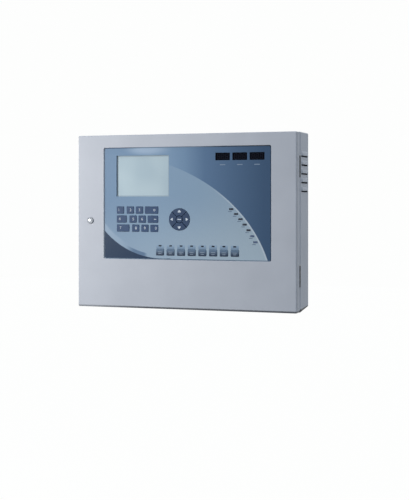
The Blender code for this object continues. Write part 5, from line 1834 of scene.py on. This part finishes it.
def makeSupply():
    s = powerCage
    low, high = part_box("power_supply")
    rise, back = s["step"]
    top, front, sheet, lap = high.z - rise, low.y + back, s["sheet"], s["lap"]
    outside = (low.x, low.z, high.x, top)
    outer, inner, field = s["corners"]
    hole = grow(outside, -s["border"])
    bm = bmesh.new()
    frameOf(bm, ring(*outside, outer), ring(*hole, field), low.y, low.y + sheet)
    punchedSheet(bm, hole, *s["holes"], s["hole"], low.y + lap, low.y + sheet - lap)
    wall = ring(*grow(outside, -sheet), inner)
    frameOf(bm, ring(*outside, outer), wall, low.y + sheet - lap, high.y)
    prism(bm, ring(low.x, top - s["stepLap"], high.x, high.z, inner, 2), front, high.y)
    piece("supplyCage", bm, [cageSteel], "enclosure", "bright_steel", "power_supply")

    # a black block and black coils behind the holes, as painted shade
    bm = bmesh.new()
    x0, z0, x1, z1 = grow(outside, -2 * sheet)
    block(bm, (x0, low.y + s["inside"], z0), (x1, high.y - sheet, z1))
    count, pitch, first = s["coils"]
    for i in range(count):  # coils and capacitors seen through the holes
        spot = (low.x + first + pitch * i, (low.z + top) / 2 + s["coilRise"][i % 2])
        raised(bm, spot, low.y, s["coil"], facing=1)
    piece("supplyInsideShade", bm, [shadowBlack], "enclosure", "bright_steel")

    bm = bmesh.new()
    start, end = low.x + s["wayEnds"][0], high.x - s["wayEnds"][1]
    pitch = (end - start) / s["ways"]
    z0, z1 = top + s["wayEdge"], high.z - s["wayEdge"]
    reach, thick = s["wayFloor"]
    block(bm, (start, front - reach, z0), (end, front, z0 + thick))
    reach, thick = s["wayWall"]
    for i in range(s["ways"] + 1):
        x = start + pitch * i
        block(bm, (x - thick / 2, front - reach, z0), (x + thick / 2, front, z1))
    reach, beside, below, above = s["clamp"]
    before, lift = s["screwAt"]
    for i in range(s["ways"]):
        x = start + pitch * i
        spot = (x + pitch / 2, (z0 + z1) / 2 + lift)
        addScrew(bm, spot, front - before, *s["screw"], slot=1, dark=2)
        block(bm, (x + beside, front - reach, z0 + below),
              (x + pitch - beside, front, z1 - above), slot=1)
    raised(bm, (high.x - s["lampAt"], (z0 + z1) / 2), front, s["lamp"], 16, slot=3)
    boardPiece("supplyTerminals", bm, chipBlack, zincSteel, shadowBlack, redPlastic)


makeSupply()
print("supply caged")


# Batteries: a case, its lid with a seam and vent covers, and two tabs in their boots
battery = {
    "corner": 0.003,
    "foot": ((0.0015, 0.0), (0.0005, 0.0006), (0.0, 0.0015)),
    "tabRise": 0.007,  # above the lid
    "lid": 0.012,
    "caseTop": ((0.0, -0.0003), (0.0008, 0.0), (0.0008, 0.001)),  # round the seam
    "lidFoot": ((0.0008, 0.0004), (0.0, 0.0008)),
    "lidTop": ((0.0, -0.0022), (0.0006, -0.001), (0.0018, -0.0005)),  # round the top
    "cover": ((0.098, 0.04), 0.002, -0.0008, -0.0001),
    "vents": (6, 0.015, 0.0052, -0.0004),
    "tabInset": 0.015,
    "tab": (0.0008, 0.0063, 0.001),  # thickness, width and overlap
    "collar": ((0.012, 0.014), 0.0015, -0.0008, 0.0002),
    "boot": (0.0044, 0.0094),
    "bootCorner": 0.0009,
    "bootFoot": ((0.0004, 0.001), (0.0, 0.0014)),
    "bootTop": ((0.0, -0.0006), (0.0005, -0.0001)),
}


def makeBattery(side):
    b = battery
    low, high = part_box(f"battery_{side}")
    top = high.z - b["tabRise"]
    seam = top - b["lid"]
    plan = (low.x, low.y, high.x, high.y)
    cx, cy = middle(plan)
    bm = bmesh.new()
    walls = lifted(b["foot"], low.z) + lifted(b["caseTop"], seam)
    stack(bm, plan, b["corner"], walls, 5, "z")
    walls = lifted(b["lidFoot"], seam) + lifted(b["lidTop"], top)
    stack(bm, plan, b["corner"], walls, 5, "z", 1)
    size, corner, start, end = b["cover"]
    pad(bm, (cx, cy), size, corner, top + start, top + end, 4, "z", 1)
    count, pitch, radius, start = b["vents"]
    for shift in spread(count, pitch):
        prism(bm, disc((cx + shift, cy), radius), top + start, top, "z")
    thick, wide, overlap = b["tab"]
    size, corner, start, end = b["collar"]
    poles = (low.x + b["tabInset"], high.x - b["tabInset"])
    for colour, x in enumerate(poles):
        block(bm, (x - thick / 2, cy - wide / 2, top - overlap),
              (x + thick / 2, cy + wide / 2, high.z), slot=4)
        pad(bm, (x, cy), size, corner, top + start, top + end, 3, "z", 2 + colour)
    materials = [batteryCase, batteryLid, blackWire, redPlastic, tinned]
    flatten(piece(f"battery_{side}_case", bm, materials, "enclosure", "battery_case",
                  f"battery_{side}"))
    bm = bmesh.new()
    rows = lifted(b["bootFoot"], top) + lifted(b["bootTop"], high.z)
    for colour, x in enumerate(poles):
        stack(bm, around((x, cy), *b["boot"]), b["bootCorner"], rows, 3, "z", colour)
    piece(f"battery_{side}_boots", bm, [blackWire, redPlastic], "enclosure", "black_wire")


for side in ("left", "right"):
    makeBattery(side)

# Leads, strap and gland plate
leads = {
    "battery_link_lead": redPlastic,
    "battery_lead_positive": redPlastic,
    "battery_lead_negative": blackWire,
    "supply_lead": redPlastic,
}
leadWeld = 0.00001  # points closer than this become one
for node, material in leads.items():
    repaint(node, material)
    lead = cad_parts[node]
    weld = lead.modifiers.new("Weld", "WELD")
    weld.merge_threshold = leadWeld
    lead.data.shade_smooth()

strap = {"edge": 0.0003, "screwAt": 0.006, "seat": 0.0015, "screw": (0.0034, 0.0024)}
glandPlate = {
    "corner": 0.003,
    "knockouts": (6, 0.024),  # count and pitch
    "groove": (0.0098, 0.0092),
    "dimple": 0.0012,
    "proud": (-0.0001, 0.0003),
    "screwInset": 0.004,
    "screw": ((0.0024, 0.0), (0.0024, -0.0009), (0.00144, -0.0014)),
}


def makeStrap():
    low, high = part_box("battery_strap")
    repaint("battery_strap", zincSteel)
    soften(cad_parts["battery_strap"], strap["edge"])
    bm = bmesh.new()
    for x in (low.x + strap["screwAt"], high.x - strap["screwAt"]):
        addScrew(bm, (x, (low.z + high.z) / 2), high.y - strap["seat"], *strap["screw"])
    piece("strapScrews", bm, [zincSteel, shadowBlack], "enclosure", "bright_steel")


def makeGland():
    g = glandPlate
    low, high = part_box("gland_plate")
    bm = bmesh.new()
    prism(bm, ring(low.x, low.y, high.x, high.y, g["corner"]), low.z, high.z, "z")
    sunk, proud = g["proud"]
    for shift in spread(*g["knockouts"]):  # rings round the blanks, above and below
        spot = (shift, (low.y + high.y) / 2)
        outer, inner = [disc(spot, radius, 32) for radius in g["groove"]]
        for z0, z1 in ((high.z + sunk, high.z + proud), (low.z - proud, low.z - sunk)):
            frameOf(bm, outer, inner, z0, z1, "z")
            prism(bm, disc(spot, g["dimple"], 12), z0, z1, "z")
    piece("glandPlate", bm, [greyPaint], "enclosure", "painted_grey", "gland_plate")
    bm = bmesh.new()
    inset = g["screwInset"]
    for x in (low.x + inset, high.x - inset):
        for y in (low.y + inset, high.y - inset):
            turned(bm, (x, y), lifted(g["screw"], low.z), 18, axis="z")
    piece("glandScrews", bm, [zincSteel], "enclosure", "bright_steel")


makeGland()
makeStrap()
print("batteries strapped")


# Flat cable: ridged, and folded once
flatCable = {
    "conductors": 20,
    "ridge": 4,  # points across each conductor
    "thick": 0.001,
    "route": ((0.15, -0.0781), (0.15, -0.0681), (0.193, -0.0552), (0.236, -0.04875),
              (0.183, -0.0423), (0.13, -0.0294), (0.13, -0.0194)),
    "steps": 10,
}


def smoothRoute(points, steps):
    points = [Vector(p) for p in points]
    padded = [2 * points[0] - points[1]] + points + [2 * points[-1] - points[-2]]
    route = []
    for i in range(1, len(padded) - 2):
        a, b, c, d = padded[i - 1:i + 3]
        for k in range(steps):
            t = k / steps
            bend = (2 * a - 5 * b + 4 * c - d) * t ** 2 + (3 * b - a - 3 * c + d) * t ** 3
            route.append(0.5 * (2 * b + (c - a) * t + bend))
    return route + [points[-1]]


def makeRibbon():
    f = flatCable
    low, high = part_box("ribbon_cable")
    route = smoothRoute(f["route"], f["steps"])
    samples = f["conductors"] * f["ridge"]
    rises = [0.5 + 0.5 * abs(sin(pi * i / f["ridge"])) for i in range(samples + 1)]
    loops = []
    for i, at in enumerate(route):
        along = (route[min(i + 1, len(route) - 1)] - route[max(i - 1, 0)]).normalized()
        side = Vector((-along.y, along.x)) * f["thick"] / 2
        loop = []
        for sign, order in ((1, range(samples + 1)), (-1, range(samples, -1, -1))):
            for k in order:
                spot = at + side * sign * rises[k]
                loop.append((spot.x, spot.y, low.z + (high.z - low.z) * k / samples))
        loops.append(loop)
    bm = bmesh.new()
    loft(bm, loops)
    cable = linked("flatCable", bm, [ribbonGrey])
    smoothBy(cable, 50)
    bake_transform(cable)
    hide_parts("ribbon_cable")


makeRibbon()
print("flat cable run")


# Display board: its back shows when the door is open
displayBoard = {
    "outline": (-0.1747, -0.0815, 0.2005, 0.1652),
    "notch": (-0.0159, 0.0472),  # the display module takes the corner left of and above this
    "plate": (-0.088, -0.0864),
    "edge": 0.0002,
    "switch": (0.006, 0.006),
    "switchCorner": 0.0005,
    "switchRise": 0.0034,
    "legAt": (0.0033, 0.0022),  # from the switch's middle
    "leg": ((0.0008, 0.0), (0.0005, 0.0005), (0.0002, 0.0008)),
    "sounderAt": (0.1765, 0.1062),
    "sounder": ((0.012, 0.0), (0.012, 0.0072), (0.0112, 0.008), (0.0022, 0.008), (0.002, 0.006)),
    "plugAt": (0.15, 0.03),
    "latchRise": (0.001, 0.0076),
    "chips": (((0.06, 0.07), (0.014, 0.014), 14), ((0.02, 0.03), (0.01, 0.006), 8),
              ((0.06, 0.02), (0.01, 0.006), 8), ((0.1, 0.02), (0.01, 0.006), 8),
              ((-0.04, -0.04), (0.01, 0.006), 8), ((-0.1, -0.04), (0.01, 0.006), 8)),
    "chipRise": 0.0016,
    "resistors": (-0.02, -0.056, 0.005, 0.006, 20, 3),  # start, pitches and counts
}


def makeDisplayBoard():
    d = displayBoard
    x0, z0, x1, z1 = d["outline"]
    nx, nz = d["notch"]
    front, back = d["plate"]
    switches = [middle(flatBox(node)) for node in keypadNodes + functionNodes]
    bm = bmesh.new()
    prism(bm, [(x0, z0), (x1, z0), (x1, z1), (nx, z1), (nx, nz), (x0, nz)], front, back)
    for spot in switches:
        pad(bm, spot, d["switch"], d["switchCorner"], front - d["switchRise"], front, slot=1)
    board = piece("displayBoard", bm, [boardGreen, chipBlack], "door", "circuit_board",
                  "display_board")
    soften(board, d["edge"])

    bm = bmesh.new()
    raised(bm, d["sounderAt"], back, d["sounder"], 36, 1)
    c = cablePlug
    pad(bm, d["plugAt"], c["size"], c["corner"], back, back + c["rise"])
    addLatches(bm, d["plugAt"], *heights(back, 1, *d["latchRise"]))
    for spot, size, pins in d["chips"]:
        addChip(bm, spot, size, back, d["chipRise"], pins, 1)
    x, z, across, down, columns, rows = d["resistors"]
    for i in range(columns * rows):
        addResistor(bm, (x + across * (i % columns), z - down * (i // columns)), back, 1)
    dx, dz = d["legAt"]
    for x, z in switches:  # soldered legs
        for spot in ((x - dx, z - dz), (x - dx, z + dz), (x + dx, z - dz), (x + dx, z + dz)):
            raised(bm, spot, back, d["leg"], 10, 1, 1)
    piece("displayParts", bm, [chipBlack, tinned], "door", "circuit_board")


makeDisplayBoard()

# Display module: a pressed can with folded tabs and a small driver board
lcdModule = {
    "corner": 0.002,
    "edge": 0.0012,
    "glassCorner": 0.0006,
    "tabs": 4,
    "tab": (0.006, 0.003),
    "tabInset": 0.008,
    "tabRun": (-0.0004, 0.001),  # round the can's back
    "board": 0.01,  # inside the can's edge
    "boardCorner": 0.001,
    "boardRun": (-0.0002, 0.0012),
    "chips": (3, 0.04, 0.03),  # count, pitch and first
    "rows": ((-0.02, (0.018, 0.01), 12), (0.022, (0.01, 0.006), 8)),  # from the top or bottom
    "chipRise": 0.0016,
}


def makeModule():
    m = lcdModule
    low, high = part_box("lcd_module")
    glass = grow(flatBox("lcd_glass"), fit)
    box = flatBox("lcd_module")
    deep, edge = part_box("lcd_glass")[1].y + fit, m["edge"]
    seat = ring(*glass, m["glassCorner"])
    loops = [level(seat, deep), level(seat, low.y)]
    insets = (edge, edge / 4, 0.0)
    drops = (0.0, edge / 4, edge)
    rows = [(inset, low.y + drop) for inset, drop in zip(insets, drops)]
    rows += [(inset, high.y - drop) for inset, drop in zip(insets[::-1], drops[::-1])]
    loops += [level(ring(*grow(box, -inset), m["corner"]), y) for inset, y in rows]
    bm = bmesh.new()
    loft(bm, loops)
    start, end = heights(high.y, 1, *m["tabRun"])
    for z in (box[1] + m["tabInset"], box[3] - m["tabInset"]):
        for i in range(m["tabs"]):  # folded over the driver board
            x = box[0] + (box[2] - box[0]) * (i + 0.5) / m["tabs"]
            pad(bm, (x, z), m["tab"], m["glassCorner"], start, end)
    flatten(piece("displayModule", bm, [zincSteel], "door", "dark_steel", "lcd_module"))

    bm = bmesh.new()
    inner = grow(box, -m["board"])
    start, end = heights(high.y, 1, *m["boardRun"])
    prism(bm, ring(*inner, m["boardCorner"], 3), start, end)
    count, pitch, first = m["chips"]
    for i in range(count):
        for shift, size, pins in m["rows"]:
            spot = (inner[0] + first + pitch * i, inner[1 if shift > 0 else 3] + shift)
            addChip(bm, spot, size, end, m["chipRise"], pins, 1, 2)
    piece("displayDriver", bm, [boardGreen, chipBlack, tinned], "door", "circuit_board")


makeModule()

# Nuts and washers on the fascia studs, and the screw that holds the cam
fixings = {
    "seat": -0.0944,  # back of the fascia plate
    "stud": 0.002,
    "studInset": 0.007,  # beyond the window
    "studEnd": (0.0004, 0.006),  # inset, and reach past the seat
    "overlap": 0.0002,
    "thread": (0.0006, 0.0052, 0.0006, 0.0003),  # start, end, pitch and rise
    "threadDepth": 0.0002,
    "bore": 0.0021,
    "washer": (0.0048, 0.0008),
    "nut": (0.004, 0.003),  # radius and height
    "nutEdge": (0.8, 0.92),  # share of the height, and share left on top
    "camWasher": (0.0054, 0.0006),
    "camHead": (0.0042, 0.0024, 0.0029),  # radius, and heights of the chamfer and the top
    "camShare": 0.9,
}


def addStud(bm, spot, rear):
    f = fixings
    seat, r = f["seat"], f["stud"]
    rows = [(r, rear - f["overlap"]), (r, seat + f["overlap"])]
    start, end, pitch, rise = f["thread"]
    y = seat + start
    while y < seat + end:
        rows += [(r - f["threadDepth"], y), (r, y + rise)]
        y += pitch
    inset, reach = f["studEnd"]
    turned(bm, spot, rows + [(r - inset, seat + reach)], 16)
    radius, thick = f["washer"]
    bore = disc(spot, f["bore"])
    frameOf(bm, disc(spot, radius), bore, seat, seat + thick)
    radius, rise = f["nut"]
    start, share = f["nutEdge"]
    foot = seat + thick
    outer = hexagon(spot, radius, 4)
    sides = ((outer, foot), (outer, foot + rise * start), (shrunk(outer, spot, share), foot + rise),
             (bore, foot + rise), (bore, foot))
    loft(bm, [level(points, y) for points, y in sides], wrap=True)


def makeFixings():
    f = fixings
    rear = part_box("door_shell")[0].y + doorTray["sheet"]
    x0, z0, x1, z1 = grow(flatBox("overlay"), doorTray["windowGap"] + f["studInset"])
    bm = bmesh.new()
    for x in (x0, (x0 + x1) / 2, x1):
        for z in (z0, z1):
            addStud(bm, (x, z), rear)
    piece("fasciaNuts", bm, [zincSteel], "door", "bright_steel")

    bm = bmesh.new()
    centre = middle(flatBox("lock_barrel"))
    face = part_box("lock_plug")[1].y
    wide, thick = f["camWasher"]
    prism(bm, disc(centre, wide), face, face + thick)
    radius, chamfer, top = f["camHead"]
    head = hexagon(centre, radius)
    sides = ((head, thick), (head, chamfer), (shrunk(head, centre, f["camShare"]), top))
    loft(bm, [level(points, face + rise) for points, rise in sides])
    piece("camScrew", bm, [zincSteel], "lock", "bright_steel")


makeFixings()
print("door's back filled")


# Stage: pale floor, white surround, a soft lamp on the left and a weaker one on the right
stage = {
    "white": (0.985, 0.99, 0.985, 1.0),
    "surround": 0.53,
    "surroundTint": (0.885, 1.0, 1.125, 1.0),
    "floorLevel": -0.62,
    "floorSize": 12.0,
    "floorTones": ((104.556, 104.556, 104.556), (103.562, 103.562, 103.061)),
    "floorFinish": ((0.7, 0.8), (600, 10, 100)),
    "floorGlow": 1.12,
    "floorShare": 0.88,  # the rest keeps the object's shadow
    "target": (0, -0.05, 0),
}
lamps = {
    "keyLamp": {"place": (-0.95, -1, 0.15), "size": 0.55, "power": 12.5, "tint": (1, 0.965, 0.92)},
    "sideLamp": {"place": (2.2, -0.5, 1.2), "size": 0.9, "power": 3.0, "tint": (1, 1, 1)},
}


# The rays that see the pale backdrop: straight from the camera, or by way of metal and glass
def backdropRays(owner):
    path = add(owner, "LightPath").outputs
    direct = sums(owner, "MAXIMUM", path["Is Camera Ray"], path["Is Glossy Ray"])
    return sums(owner, "MAXIMUM", direct, path["Is Transmission Ray"])


def whiteWorld():
    world = bpy.data.worlds.new("studio")
    scene.world = world
    world.use_nodes = True
    world.node_tree.nodes.clear()
    pick = feed(world, add(world, "MixShader"), {"Fac": backdropRays(world)})
    sides = ((stage["surroundTint"], stage["surround"]), (stage["white"], 1.0))
    for socket, (colour, strength) in enumerate(sides, 1):
        light = feed(world, add(world, "Background"), {"Color": colour, "Strength": strength})
        feed(world, pick, {socket: light.outputs["Background"]})
    feed(world, add(world, "OutputWorld"), {"Surface": pick.outputs["Shader"]})


def paleFloor():
    half = stage["floorSize"] / 2
    bm = bmesh.new()
    corners = ((-half, -half), (half, -half), (half, half), (-half, half))
    bm.faces.new([bm.verts.new((x, y, stage["floorLevel"])) for x, y in corners])
    paint = dress("pale_floor", *stage["floorTones"], *stage["floorFinish"])
    lit = {"Color": stage["white"], "Strength": stage["floorGlow"]}
    glow = feed(paint, add(paint, "Emission"), lit).outputs["Emission"]
    share = times(paint, backdropRays(paint), stage["floorShare"])
    both = {"Fac": share, 1: shaderOf(paint).outputs["BSDF"], 2: glow}
    pick = feed(paint, add(paint, "MixShader"), both).outputs["Shader"]
    feed(paint, paint.node_tree.nodes["Material Output"], {"Surface": pick})
    linked("floor", bm, [paint])


def softLamp(name, lamp):
    data = bpy.data.lights.new(name, "AREA")
    data.shape = "DISK"
    data.color = lamp["tint"]
    data.size = lamp["size"]
    data.energy = lamp["power"]
    holder = bpy.data.objects.new(name, data)
    holder.location = lamp["place"]
    aim = Vector(stage["target"]) - Vector(lamp["place"])
    holder.rotation_mode = "QUATERNION"
    holder.rotation_quaternion = aim.to_track_quat("-Z", "Y")
    scene.collection.objects.link(holder)


whiteWorld()
paleFloor()
for name, lamp in lamps.items():
    softLamp(name, lamp)
print("lamps set")


# Camera: right of the door's middle, level, with the lens shifted so upright edges stay upright
camera = {
    "place": (0.8997, -2.4555, 0.0477),
    "turn": 19.8245,  # degrees right of the door's normal
    "lift": -0.0986,
    "lens": 79.906,
    "sensor": 36.0,
    "near": 0.1,
}


def setCamera():
    data = bpy.data.cameras.new("camera")
    data.sensor_width = camera["sensor"]
    data.lens = camera["lens"]
    data.shift_y = camera["lift"]
    data.clip_start = camera["near"]
    holder = bpy.data.objects.new("camera", data)
    holder.location = camera["place"]
    holder.rotation_euler = (pi / 2, 0.0, radians(camera["turn"]))
    scene.collection.objects.link(holder)
    scene.camera = holder
    scene.view_settings.view_transform = "Standard"


setCamera()
print("camera set")
